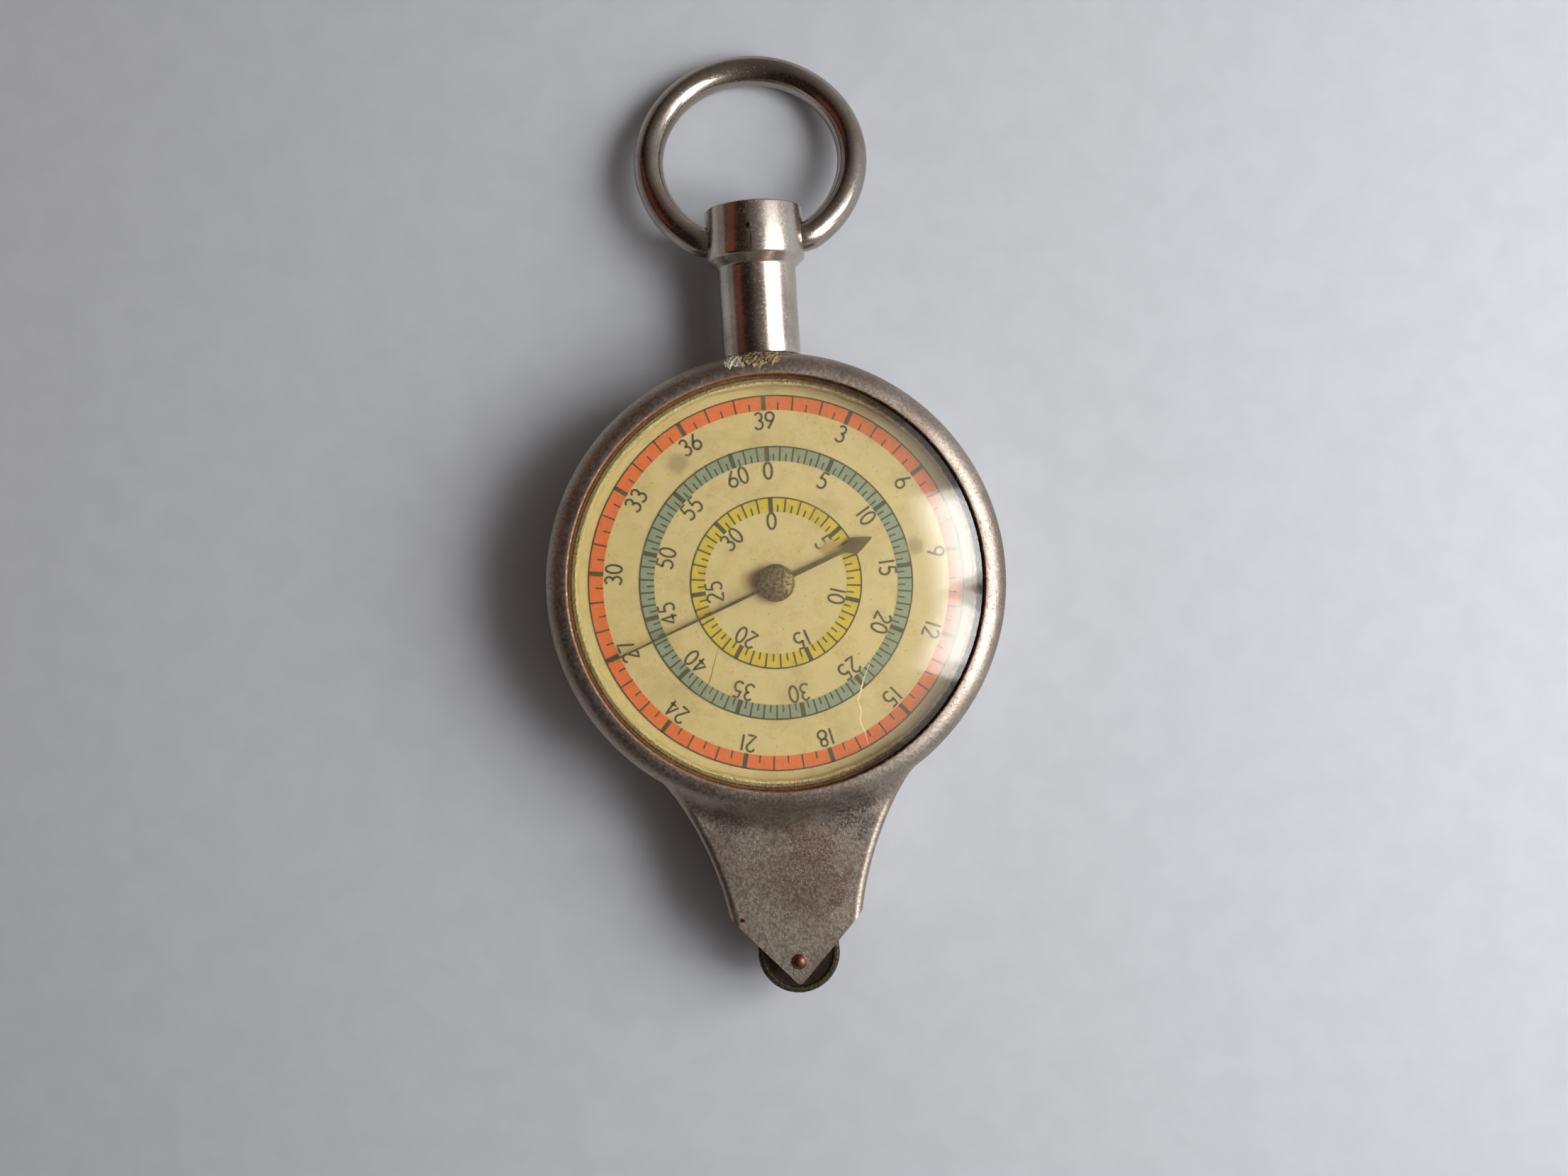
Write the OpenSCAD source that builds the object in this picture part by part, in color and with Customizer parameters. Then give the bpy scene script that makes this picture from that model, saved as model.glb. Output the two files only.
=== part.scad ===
// Opisometer, a map measurer: a small wheel run along a route drives one long hand.
// +Z is the dial side, +Y points to the hanging ring and -Y to the tracing wheel.
// The origin is on the flat back that the tool lies on, under the centre of the dial.

/* [Case] */
// Radius of the round case at its side wall
case_r = 17.3; // [16.9:0.1:18.5]
// Radius of the rounding from the side wall to the bezel's crest and to the back
rim_r = 1.5; // [1.3:0.05:1.8]
// Thickness of the stamped metal
wall = 0.5; // [0.4:0.05:0.6]
// Width of the bezel from the side wall to its opening
bezel_w = 1.8; // [1.6:0.05:2]
// Width of the lip that centres one shell in the other
lip_w = 0.25; // [0.2:0.05:0.35]
// Height of that lip over the seam
lip_h = 0.6; // [0.4:0.1:0.9]

/* [Nose] */
// Width of the nose where its side walls end
nose_w = 10; // [9.8:0.1:10.6]
// Distance from the wheel's axle up to the end of the side walls
mouth_up = 3.5; // [3.3:0.05:4]
// Radius of the concave flanks
flank_r = 26; // [22:0.5:32]
// Angle of the flanks to the tool's axis at the mouth
flank_angle = 10; // [8:0.5:14]
// Rounding of the flanks' edges
flank_round = 0.6; // [0.4:0.05:0.8]
// Distance from the axle down to the tip of the cheeks
tip_down = 1.7; // [1.4:0.05:2]
// Rounding of that tip
tip_r = 0.35; // [0.25:0.05:0.6]

/* [Tracing wheel] */
// Inches along the map for one turn of the hand
inches_per_turn = 39; // [37:1:41]
// Thickness of the tracing wheel
wheel_t = 1; // [0.9:0.05:1.2]
// Bevel at the wheel's rim
wheel_bevel = 0.15; // [0.1:0.01:0.2]
// Depth of the hollow in each face of the wheel
wheel_dish = 0.15; // [0.1:0.01:0.2]
// Width of the flat band between that hollow and the bevel
wheel_band = 0.3; // [0.2:0.05:0.5]
// Radius of the riveted axle
axle_r = 0.4; // [0.35:0.01:0.45]
// Radius of the axle's domed heads
rivet_r = 0.58; // [0.55:0.01:0.7]
// Height of the axle's domed heads
rivet_h = 0.4; // [0.3:0.05:0.5]
// Radius of the spacers on the axle
spacer_r = 0.9; // [0.75:0.05:1.1]

/* [Gear train] */
// Room between the centre gear's pitch circle and the pillars, which sets the module
gear_room = 1.2; // [1:0.05:1.6]
// Teeth of the pinion on the tracing wheel
wheel_pinion_teeth = 12; // [11:1:12]
// Teeth of the first gear
first_teeth = 24; // [23:1:25]
// Teeth of the pinion under the first gear
first_pinion_teeth = 14; // [13:1:14]
// Teeth of the second gear
second_teeth = 35; // [34:1:35]
// Teeth of the pinion over the second gear
second_pinion_teeth = 8; // [8:1:9]
// Teeth of the centre gear
centre_teeth = 80; // [78:1:80]
// Thickness of every gear
gear_t = 0.6; // [0.5:0.05:0.7]
// Radius of the arbors between their pivots
arbor_r = 0.6; // [0.55:0.01:0.65]
// Radius of the arbors' pivots
pivot_r = 0.35; // [0.3:0.01:0.4]
// Radius of the centre gear's collar
collar_r = 1.8; // [1.4:0.1:2.2]
// Radius of the round holes that lighten the centre gear
lightening_r = 2.7; // [2:0.1:3]

/* [Movement plates] */
// Thickness of the two movement plates
plate_t = 0.6; // [0.5:0.05:0.7]
// Width of the tongue that reaches into the nose
tongue_w = 5; // [4:0.1:6]
// Radius of the pillars between the plates
pillar_r = 0.8; // [0.75:0.05:0.85]
// Radius of the screws through the pillars
screw_r = 0.4; // [0.35:0.01:0.45]
// Height of the screw heads
screw_head_h = 0.45; // [0.4:0.05:0.6]
// Radius of the screw heads
screw_head_r = 0.78; // [0.7:0.01:0.85]

/* [Dial and hand] */
// Thickness of the dial's metal disc
dial_t = 0.4; // [0.3:0.05:0.5]
// Thickness of the printed card on it
card_t = 0.15; // [0.1:0.01:0.2]
// Distance from the bezel's opening to the outer printed scale
scale_margin = 1.33; // [1.2:0.01:1.6]
// Width of each of the three printed scales
scale_w = 1.12; // [0.9:0.02:1.2]
// Space for numbers between one scale and the next
number_space = 2.72; // [2.6:0.02:3]
// Distance of the dial's two feet from its centre
foot_out = 9.5; // [8:0.1:11]
// Radius of the feet's pins
foot_r = 0.45; // [0.4:0.01:0.5]
// Distance from the outer scale's edge back to the end of the hand's tail
tail_short = 0.37; // [0:0.01:1]
// Width of the tail where it leaves the hub
tail_w = 0.42; // [0.35:0.01:0.6]
// Length of the hand's arrow from the centre
arrow_len = 8; // [7:0.1:9]
// Length of the arrow's head
arrow_head_len = 2.25; // [1.9:0.05:3]
// Distance from the widest place of the arrow's head to its point
arrow_point_len = 1.45; // [1.2:0.05:1.7]
// Width of the arrow's head
arrow_w = 1.45; // [1.2:0.05:1.8]
// Radius of the hand's eye under the hub
eye_r = 1.15; // [0.95:0.01:1.2]
// Thickness of the hand
hand_t = 0.15; // [0.12:0.01:0.2]
// Radius of the domed hub
hub_r = 1.43; // [1.2:0.01:1.6]
// Height of the domed hub
hub_h = 0.95; // [0.8:0.05:1.1]
// Direction of the tail, counter-clockwise from +X
tail_angle = 202; // [0:1:359]

/* [Crystal] */
// Thickness of the crystal
crystal_t = 0.8; // [0.7:0.05:1]
// Rise of the crystal from its edge to its centre
crystal_rise = 1.7; // [1.4:0.05:2]
// Thickness of the flange that the bezel holds
flange_t = 0.5; // [0.4:0.05:0.6]
// Width of the aged cement that shows round the dial
cement_w = 0.6; // [0.5:0.05:0.7]

/* [Stem] */
// Radius of the stem
stem_r = 3; // [2.8:0.05:3.2]
// Length of the stem's straight part
stem_len = 6.9; // [6:0.1:8]
// Length of the cone between the stem and its head
cone_len = 0.7; // [0.5:0.05:1]
// Radius of the head
head_r = 3.78; // [3.6:0.02:4]
// Length of the head
head_len = 3.85; // [3.6:0.05:4.5]
// Radius of the screwed tenon that holds the stem in the case
tenon_r = 1.2; // [1:0.05:1.3]
// Width of the nut across its flats
nut_w = 3.3; // [3.1:0.05:3.4]
// Thickness of the nut
nut_t = 1.4; // [1:0.1:1.6]
// Thickness of the solder under the stem's end
solder_t = 0.15; // [0.1:0.01:0.25]

/* [Ring] */
// Radius of the ring to the middle of its wire
ring_r = 8; // [7.6:0.1:8.6]
// Radius of the ring's wire
wire_r = 1.15; // [1:0.05:1.2]
// Distance from the head's lower edge to the ring's axis
ring_axis_up = 1.6; // [1.5:0.05:1.8]
// Depth of the sockets that the ring's ends turn in
socket_depth = 1.4; // [1.2:0.05:1.8]
// Distance from the head's side to the bend at each end of the ring
bend_out = 0.32; // [0.3:0.02:0.5]

/* [Clearances] */
// Gap between turning parts along their axes
end_gap = 0.2; // [0.16:0.01:0.22]
// Gap round a shaft or pivot that turns
run_gap = 0.04; // [0.03:0.005:0.06]
// Gap round a piece that is fixed in its seat
seat_gap = 0.02; // [0.01:0.005:0.03]
// Gap between neighbours that only lie close
free_gap = 0.1; // [0.08:0.01:0.12]
// Thinning of each tooth flank that gives the gears their play
tooth_gap = 0.02; // [0.015:0.005:0.03]
// Gap between the ring and its sockets
ring_gap = 0.1; // [0.08:0.01:0.12]
// Gap between the movement plates and the side wall
plate_gap = 0.7; // [0.6:0.05:0.9]
// Gap between the dial and the side wall
dial_gap = 0.5; // [0.4:0.05:0.6]

/* [Hidden] */
$fn = 96;
// Overshoot of what is cut away
cut = 0.5;
inch = 25.4;

// The wheel's radius follows from the scale and the train, so that the dial reads true.
train_ratio = (centre_teeth / second_pinion_teeth) * (second_teeth / first_pinion_teeth)
    * (first_teeth / wheel_pinion_teeth);
wheel_r = inches_per_turn * inch / (2 * PI * train_ratio);

// The centre gear is as large as the case allows.
plate_r = case_r - wall - plate_gap;
pillar_ring_r = plate_r - pillar_r - free_gap;
gear_module = 2 * (pillar_ring_r - pillar_r - gear_room) / centre_teeth;

// Tooth form: pressure angle, and the tooth's tip and foot in modules from the pitch circle.
// The shift strengthens the eight-leaf pinion and is taken off the centre gear.
pressure_angle = 25;
tooth_tip = 0.9;
tooth_foot = 1.15;
pinion_shift = 0.3;

// The arbors stand in a row on the tool's axis, each a centre distance further down.
second_y = -gear_module * (centre_teeth + second_pinion_teeth) / 2;
first_y = second_y - gear_module * (second_teeth + first_pinion_teeth) / 2;
axle_y = first_y - gear_module * (first_teeth + wheel_pinion_teeth) / 2;

// The height of the nose follows from the stack of gears between its floor and the wheel.
nose_half = wheel_t / 2 + 3 * end_gap + 2 * gear_t + plate_t + free_gap + wall;
mid_z = nose_half + rim_r;
nose_back_z = rim_r;
nose_front_z = mid_z + nose_half;
crest_z = nose_front_z + rim_r;
wheel_z = mid_z - wheel_t / 2;
first_z = wheel_z - end_gap - gear_t;
second_z = first_z - end_gap - gear_t;
plate_back_z = second_z - end_gap - plate_t;
plate_front_z = wheel_z + wheel_t + free_gap;
centre_z = (second_z + gear_t + plate_front_z - gear_t) / 2;
dial_z = plate_front_z + plate_t + screw_head_h + end_gap;
card_z = dial_z + dial_t;
face_z = card_z + card_t;
flange_z = crest_z - wall - free_gap - flange_t;
hand_z = face_z + 2 * end_gap;

// Outline of the case and of the nose. The rim's rounding is a little smaller than its rise
// over the nose, and the neck's outline ends inside the round case.
opening_r = case_r - bezel_w;
rim_edge = rim_r - free_gap;
mouth_y = axle_y + mouth_up;
flank_x = nose_w / 2 + flank_r * cos(flank_angle);
flank_y = mouth_y - flank_r * sin(flank_angle);
neck_top_y = -case_r + 3 * rim_r;
tip_y = axle_y - tip_down;
cheek_drop = mouth_y - tip_y - tip_r;
cheek_angle = cheek_half_angle(nose_w / 2, cheek_drop, tip_r);

// Where a flank runs into the round case
flank_far = norm([flank_x, flank_y]);
join_along = (case_r * case_r - flank_r * flank_r + flank_far * flank_far) / (2 * flank_far);
join_off = sqrt(case_r * case_r - join_along * join_along);
join_y = (join_along * flank_y - join_off * flank_x) / flank_far;

// Movement and dial
pillar_angles = [45, 135, 225, 315];
bush_r = arbor_r + run_gap;
nut_y = case_r - wall - 2 * free_gap;
screw_end_z = 2 * wall;
flange_r = case_r - rim_r + 2 * free_gap;
dial_r = case_r - wall - dial_gap;
scale_r = opening_r - scale_margin;
tail_len = scale_r - tail_short;

// Stem and ring
stem_y = case_r + solder_t;
cone_y = stem_y + stem_len;
head_y = cone_y + cone_len;
ring_y = head_y + ring_axis_up;
bend_x = head_r + bend_out;
ring_rise = sqrt(ring_r * ring_r - bend_x * bend_x);
// The ring lies with its far side on the surface that the case rests on.
ring_tilt = asin((mid_z - wire_r - seat_gap) / (ring_rise + ring_r));

// Half angle of a cheek's point, from its half width, its drop to the centre of the
// rounding and the rounding's radius.
function cheek_half_angle(w, drop, r) = atan(w / drop) + asin(r / norm([w, drop]));

// Angle in degrees that the involute sweeps at a pressure angle.
function involute(a) = tan(a) * 180 / PI - a;

// Half width of a tooth, as an angle, at radius r.
function tooth_half(n, shift, r) =
    let (pitch = gear_module * n / 2, turned = acos(min(1, cos(pressure_angle) * pitch / r)))
    90 / n + involute(pressure_angle) - involute(turned)
        + (2 * shift * tan(pressure_angle) / n - tooth_gap / pitch) * 180 / PI;

// Outline of a gear: both flanks of each tooth in steps, over a radial foot.
function gear_points(n, shift, steps) =
    let (pitch = gear_module * n / 2, base = pitch * cos(pressure_angle),
        root = pitch - gear_module * (tooth_foot - shift),
        tip = pitch + gear_module * (tooth_tip + shift),
        low = max(base, root), radii = concat(root < base ? [root] : [],
            [for (k = [0 : steps]) low + (tip - low) * k / steps]))
    [for (i = [0 : n - 1]) for (side = [-1, 1]) for (k = [0 : len(radii) - 1])
        let (r = side < 0 ? radii[k] : radii[len(radii) - 1 - k],
            a = i * 360 / n + side * tooth_half(n, shift, max(r, low)))
        r * [cos(a), sin(a)]];

// Angle of a gear's first tooth that meshes with the gear above it in the row.
function mesh_angle(n_above, angle_above, n) =
    let (phase = (270 - angle_above) * n_above / 360)
    90 - (0.5 - phase) * 360 / n;

second_pinion_angle = mesh_angle(centre_teeth, 0, second_pinion_teeth);
second_angle = second_pinion_angle;
first_pinion_angle = mesh_angle(second_teeth, second_angle, first_pinion_teeth);
first_angle = first_pinion_angle;
wheel_pinion_angle = mesh_angle(first_teeth, first_angle, wheel_pinion_teeth);

module toothed_disc(n, shift, thick, turn, steps) {
    rotate([0, 0, turn]) linear_extrude(thick) polygon(gear_points(n, shift, steps));
}

module tube(r_out, r_in, h) {
    difference() {
        cylinder(r = r_out, h = h);
        translate([0, 0, -cut]) cylinder(r = r_in, h = h + 2 * cut);
    }
}

// Half section of a round tub of radius r and height h with a rounded edge.
module tub_section(r, h, edge) {
    square([r - edge, h]);
    square([r, h - edge]);
    intersection() {
        translate([r - edge, h - edge]) circle(r = edge);
        translate([r - edge, h - edge]) square(edge);
    }
}

// Flat outline of the neck between the round case and the mouth, drawn in by inset.
module neck_outline(inset) {
    difference() {
        translate([-case_r, mouth_y - cut / 2]) square([2 * case_r, neck_top_y - mouth_y + cut / 2]);
        for (side = [-1, 1])
            translate([side * flank_x, flank_y]) circle(r = flank_r + inset);
    }
}

// Flat outline of a cheek: the neck, and the point that goes down past the wheel's axle.
module cheek_outline() {
    difference() {
        neck_outline(0);
        translate([-case_r, mouth_y - case_r]) square([2 * case_r, case_r]);
    }
    turn = (90 - cheek_angle) / 3;
    tip = [for (k = [-3 : 3]) [0, tip_y + tip_r] - tip_r * [-sin(k * turn), cos(k * turn)]];
    polygon(concat([[-nose_w / 2, mouth_y]], tip, [[nose_w / 2, mouth_y]]));
}

// What is cut away to ease the edges of the flanks at the face at height 0.
module flank_easing() {
    steps = [for (a = [0 : 30 : 90]) flank_round * [1 - cos(a), sin(a) - 1]];
    intersection() {
        for (side = [-1, 1])
            translate([side * flank_x, flank_y, 0]) rotate_extrude() translate([flank_r, 0])
                polygon(concat([[-cut, -flank_round]], steps, [[flank_round, cut], [-cut, cut]]));
        translate([-case_r, mouth_y - case_r, -2 * flank_round])
            cube([2 * case_r, join_y - flank_round / 2 - mouth_y + case_r, 4 * flank_round]);
    }
}

// One shell of the case from the seam up: round tub, nose and cheek, with open mouth.
module shell() {
    tub_h = crest_z - mid_z;
    translate([0, 0, mid_z]) difference() {
        union() {
            rotate_extrude() tub_section(case_r, tub_h, rim_edge);
            linear_extrude(nose_half) cheek_outline();
        }
        translate([0, 0, -cut]) rotate_extrude()
            tub_section(case_r - wall, tub_h - wall + cut, rim_edge - wall);
        translate([0, 0, -cut]) linear_extrude(nose_half - wall + cut) neck_outline(wall);
        translate([-case_r, mouth_y - case_r, -cut])
            cube([2 * case_r, case_r, nose_half - wall + cut]);
        translate([0, 0, nose_half]) flank_easing();
        translate([0, axle_y, 0]) cylinder(r = axle_r + seat_gap, h = nose_half + cut);
        translate([0, nut_y, 0]) rotate([-90, 0, 0])
            cylinder(r = tenon_r + seat_gap, h = case_r);
    }
}

module case_front() {
    color("#8f887c") difference() {
        shell();
        translate([0, 0, mid_z]) cylinder(r = opening_r, h = crest_z);
    }
}

// The back shell carries the lip that centres the front one.
module case_back() {
    lip_r = case_r - wall;
    color("#857e72") {
        translate([0, 0, 2 * mid_z]) mirror([0, 0, 1]) shell();
        difference() {
            rotate_extrude() polygon([[lip_r - lip_w, mid_z - lip_h],
                [lip_r + wall / 2, mid_z - lip_h], [lip_r + wall / 2, mid_z - free_gap],
                [lip_r - free_gap / 2, mid_z - free_gap], [lip_r - free_gap / 2, mid_z + lip_h],
                [lip_r - lip_w, mid_z + lip_h]]);
            translate([-case_r, -2 * case_r - case_r / 2, 0])
                cube([2 * case_r, 2 * case_r, crest_z]);
            translate([-nut_w, 0, 0]) cube([2 * nut_w, case_r, crest_z]);
        }
    }
}

// Domed crystal, held by its flange under the bezel.
module crystal() {
    edge_r = opening_r - free_gap;
    dome_r = (edge_r * edge_r + crystal_rise * crystal_rise) / (2 * crystal_rise);
    edge_z = crest_z - wall;
    dome_z = edge_z + crystal_rise - dome_r;
    color("#d9d3b0", 0.35) difference() {
        union() {
            intersection() {
                translate([0, 0, flange_z]) cylinder(r = edge_r, h = flange_t + 2 * crystal_rise);
                translate([0, 0, dome_z]) sphere(r = dome_r, $fn = 200);
            }
            translate([0, 0, flange_z]) cylinder(r = flange_r, h = flange_t);
        }
        intersection() {
            translate([0, 0, flange_z - cut])
                cylinder(r = edge_r - crystal_t, h = 2 * crystal_rise + cut);
            translate([0, 0, dome_z]) sphere(r = dome_r - crystal_t, $fn = 200);
        }
    }
}

// Aged cement that shows brown between the dial and the bezel.
module crystal_cement() {
    color("#6e5a34") translate([0, 0, face_z])
        tube(opening_r - free_gap, opening_r - free_gap - cement_w, flange_z - face_z);
}

// Sprung brass ring that carries the crystal's flange and holds the dial down.
module tension_ring() {
    color("#b08a45") translate([0, 0, face_z])
        tube(flange_r + free_gap, opening_r - free_gap, flange_z - face_z);
}

module dial_plate() {
    color("#b59a5c") translate([0, 0, dial_z])
        tube(dial_r, bush_r + free_gap, dial_t);
}

module dial_card() {
    color("#d8cb96") translate([0, 0, card_z])
        tube(dial_r, bush_r + free_gap, card_t);
}

// The three coloured bands of the printing, as thin as ink needs to be to have a body.
module dial_scales() {
    inks = ["#e2683a", "#86a09a", "#dccb45"];
    for (i = [0 : len(inks) - 1]) {
        outer = scale_r - i * (scale_w + number_space);
        color(inks[i]) translate([0, 0, face_z]) tube(outer, outer - scale_w, seat_gap);
    }
}

// Two feet under the dial, which stand on the front movement plate.
module dial_feet() {
    top = plate_front_z + plate_t;
    color("#a88f55") for (side = [-1, 1]) translate([side * foot_out, 0, 0]) {
        translate([0, 0, top]) cylinder(r = 2 * foot_r, h = dial_z - top);
        translate([0, 0, plate_front_z - end_gap])
            cylinder(r = foot_r, h = plate_t + end_gap);
    }
}

// One thin blade: a pointing tail on one side of the hub and a leaf arrow on the other.
module hand() {
    neck_x = arrow_head_len - arrow_len;
    widest_x = arrow_point_len - arrow_len;
    color("#2c2a26") translate([0, 0, hand_z]) rotate([0, 0, tail_angle])
        linear_extrude(hand_t) difference() {
            union() {
                polygon([[0, -tail_w / 2], [tail_len, -tail_w / 6],
                    [tail_len, tail_w / 6], [0, tail_w / 2]]);
                polygon([[0, -tail_w / 2], [0, tail_w / 2], [neck_x, tail_w / 3],
                    [widest_x, arrow_w / 2], [-arrow_len, 0],
                    [widest_x, -arrow_w / 2], [neck_x, -tail_w / 3]]);
                circle(r = eye_r);
            }
            circle(r = arbor_r + seat_gap);
        }
}

// Domed cap, with a collar under the hand.
module hand_hub() {
    bottom = face_z + end_gap;
    blade = hand_t + seat_gap;
    dome_h = bottom + hub_h - hand_z - blade;
    dome_r = (hub_r * hub_r + dome_h * dome_h) / (2 * dome_h);
    color("#4a453d") {
        translate([0, 0, bottom]) tube(hub_r, arbor_r + seat_gap, hand_z - seat_gap - bottom);
        translate([0, 0, hand_z + blade]) difference() {
            intersection() {
                cylinder(r = hub_r, h = 2 * dome_h);
                translate([0, 0, dome_h - dome_r]) sphere(r = dome_r);
            }
            translate([0, 0, -cut]) cylinder(r = arbor_r + seat_gap, h = cut + dome_h / 2);
        }
    }
}

// Centre arbor: a pivot in the back plate, and a shaft through front plate and dial.
module centre_arbor() {
    bottom = plate_back_z + plate_t + end_gap;
    color("#9aa0a3") {
        translate([0, 0, plate_back_z]) cylinder(r = pivot_r, h = bottom - plate_back_z);
        translate([0, 0, bottom]) cylinder(r = arbor_r, h = hand_z + hand_t - bottom);
    }
}

module centre_gear() {
    holes_r = (collar_r + gear_module * centre_teeth / 2) / 2;
    color("#b8965a") difference() {
        union() {
            translate([0, 0, centre_z])
                toothed_disc(centre_teeth, -pinion_shift, gear_t, 0, 3);
            translate([0, 0, second_z]) cylinder(r = collar_r, h = centre_z - second_z);
        }
        translate([0, 0, plate_back_z]) cylinder(r = arbor_r + seat_gap, h = crest_z);
        for (i = [0 : 5]) rotate([0, 0, 60 * i]) translate([holes_r, 0, centre_z - cut])
            cylinder(r = lightening_r, h = gear_t + 2 * cut);
    }
}

// Arbor with pivots in both plates. Its pinion is cut from the same steel.
module leaf_arbor(teeth, shift, turn, leaf_z, leaf_h) {
    low = plate_back_z + plate_t + end_gap / 2;
    high = plate_front_z - end_gap / 2;
    color("#9aa0a3") {
        translate([0, 0, plate_back_z]) cylinder(r = pivot_r, h = low - plate_back_z);
        translate([0, 0, low]) cylinder(r = arbor_r, h = high - low);
        translate([0, 0, high]) cylinder(r = pivot_r, h = plate_front_z + plate_t - high);
        translate([0, 0, leaf_z]) toothed_disc(teeth, shift, leaf_h, turn, 4);
    }
}

module second_arbor() {
    leaf_z = second_z + gear_t;
    translate([0, second_y, 0]) leaf_arbor(second_pinion_teeth, pinion_shift,
        second_pinion_angle, leaf_z, plate_front_z - end_gap - leaf_z);
}

module second_gear() {
    color("#b8965a") translate([0, second_y, second_z]) difference() {
        toothed_disc(second_teeth, 0, gear_t, second_angle, 3);
        translate([0, 0, -cut]) cylinder(r = arbor_r + seat_gap, h = gear_t + 2 * cut);
    }
}

module first_arbor() {
    translate([0, first_y, 0]) leaf_arbor(first_pinion_teeth, 0,
        first_pinion_angle, second_z, first_z - second_z);
}

module first_gear() {
    color("#b8965a") translate([0, first_y, first_z]) difference() {
        toothed_disc(first_teeth, 0, gear_t, first_angle, 3);
        translate([0, 0, -cut]) cylinder(r = arbor_r + seat_gap, h = gear_t + 2 * cut);
    }
}

// Pinion riveted to the tracing wheel, turning on the same fixed axle.
module wheel_pinion() {
    color("#a8874e") translate([0, axle_y, first_z]) difference() {
        toothed_disc(wheel_pinion_teeth, 0, wheel_z - first_z, wheel_pinion_angle, 4);
        translate([0, 0, -cut]) cylinder(r = axle_r + run_gap, h = wheel_z);
    }
}

module tracing_wheel() {
    dish_r = wheel_r - wheel_bevel - wheel_band;
    color("#5c4c33") translate([0, axle_y, wheel_z]) difference() {
        rotate_extrude() polygon([[axle_r + run_gap, 0], [wheel_r - wheel_bevel, 0],
            [wheel_r, wheel_bevel], [wheel_r, wheel_t - wheel_bevel],
            [wheel_r - wheel_bevel, wheel_t], [axle_r + run_gap, wheel_t]]);
        translate([0, 0, wheel_t - wheel_dish]) tube(dish_r, spacer_r + free_gap, wheel_t);
    }
}

// Fixed axle through both cheeks, with a domed rivet head on each.
module wheel_axle() {
    dome_r = (rivet_r * rivet_r + rivet_h * rivet_h) / (2 * rivet_h);
    color("#a5783f") translate([0, axle_y, mid_z]) {
        translate([0, 0, -nose_half]) cylinder(r = axle_r, h = 2 * nose_half);
        for (side = [0, 1]) mirror([0, 0, side]) intersection() {
            translate([0, 0, nose_half]) cylinder(r = rivet_r, h = 2 * rivet_h);
            translate([0, 0, nose_half + rivet_h - dome_r]) sphere(r = dome_r);
        }
    }
}

module axle_spacers() {
    low = nose_back_z + wall;
    high = wheel_z + wheel_t + free_gap;
    color("#b8965a") translate([0, axle_y, 0]) {
        translate([0, 0, low]) tube(spacer_r, axle_r + seat_gap, first_z - free_gap - low);
        translate([0, 0, high]) tube(spacer_r, axle_r + seat_gap, nose_front_z - wall - high);
    }
}

// Movement plate: a round plate with a tongue that carries the row of arbors.
module movement_plate(z) {
    tongue_end = first_y - tongue_w / 4;
    color("#bda064") translate([0, 0, z]) linear_extrude(plate_t) difference() {
        union() {
            circle(r = plate_r);
            translate([-tongue_w / 2, tongue_end]) square([tongue_w, -tongue_end]);
        }
        for (y = [second_y, first_y]) translate([0, y]) circle(r = pivot_r + run_gap);
        for (a = pillar_angles) rotate(a) translate([pillar_ring_r, 0])
            circle(r = screw_r + run_gap);
        children();
    }
}

module movement_plate_back() {
    movement_plate(plate_back_z) circle(r = pivot_r + run_gap);
}

// The front plate also has the centre bush, holes for the dial's feet and a notch at the nut.
module movement_plate_front() {
    movement_plate(plate_front_z) {
        circle(r = bush_r);
        for (side = [-1, 1]) translate([side * foot_out, 0]) circle(r = foot_r + run_gap);
        translate([-nut_w / 2 - 3 * free_gap, nut_y - nut_t - 4 * free_gap])
            square([nut_w + 6 * free_gap, case_r]);
    }
}

module at_pillars() {
    for (a = pillar_angles) rotate([0, 0, a]) translate([pillar_ring_r, 0, 0]) children();
}

module pillars() {
    low = plate_back_z + plate_t;
    color("#b39559") at_pillars() translate([0, 0, low])
        tube(pillar_r, screw_r + run_gap, plate_front_z - low);
}

// Posts soldered in the back shell, which the movement is screwed to.
module standoffs() {
    color("#8c8578") at_pillars() translate([0, 0, wall])
        tube(pillar_r, screw_r + seat_gap, plate_back_z - wall);
}

module movement_screws() {
    top = plate_front_z + plate_t;
    color("#6f7377") at_pillars() {
        translate([0, 0, screw_end_z]) cylinder(r = screw_r, h = top - screw_end_z);
        translate([0, 0, top]) difference() {
            cylinder(r = screw_head_r, h = screw_head_h);
            translate([-screw_head_r, -free_gap, screw_head_h / 2])
                cube([2 * screw_head_r, 2 * free_gap, screw_head_h]);
        }
    }
}

// Turned stem with its head, the screwed tenon and the two sockets for the ring.
module stem() {
    color("#8b8072") translate([0, 0, mid_z]) difference() {
        rotate([-90, 0, 0]) rotate_extrude() polygon([[0, nut_y - nut_t - free_gap],
            [tenon_r, nut_y - nut_t - free_gap], [tenon_r, stem_y], [stem_r, stem_y],
            [stem_r, cone_y], [head_r - free_gap, head_y], [head_r, head_y + free_gap],
            [head_r, head_y + head_len - free_gap], [head_r - free_gap, head_y + head_len],
            [0, head_y + head_len]]);
        for (side = [-1, 1]) translate([side * (head_r - socket_depth), ring_y, 0])
            rotate([0, side * 90, 0]) cylinder(r = wire_r + ring_gap, h = head_r);
    }
}

module stem_nut() {
    color("#9c8a5e") translate([0, nut_y, mid_z]) rotate([90, 0, 0]) difference() {
        cylinder(r = nut_w / 2 / cos(30), h = nut_t, $fn = 6);
        translate([0, 0, -cut]) cylinder(r = tenon_r + seat_gap, h = nut_t + 2 * cut);
    }
}

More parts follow.
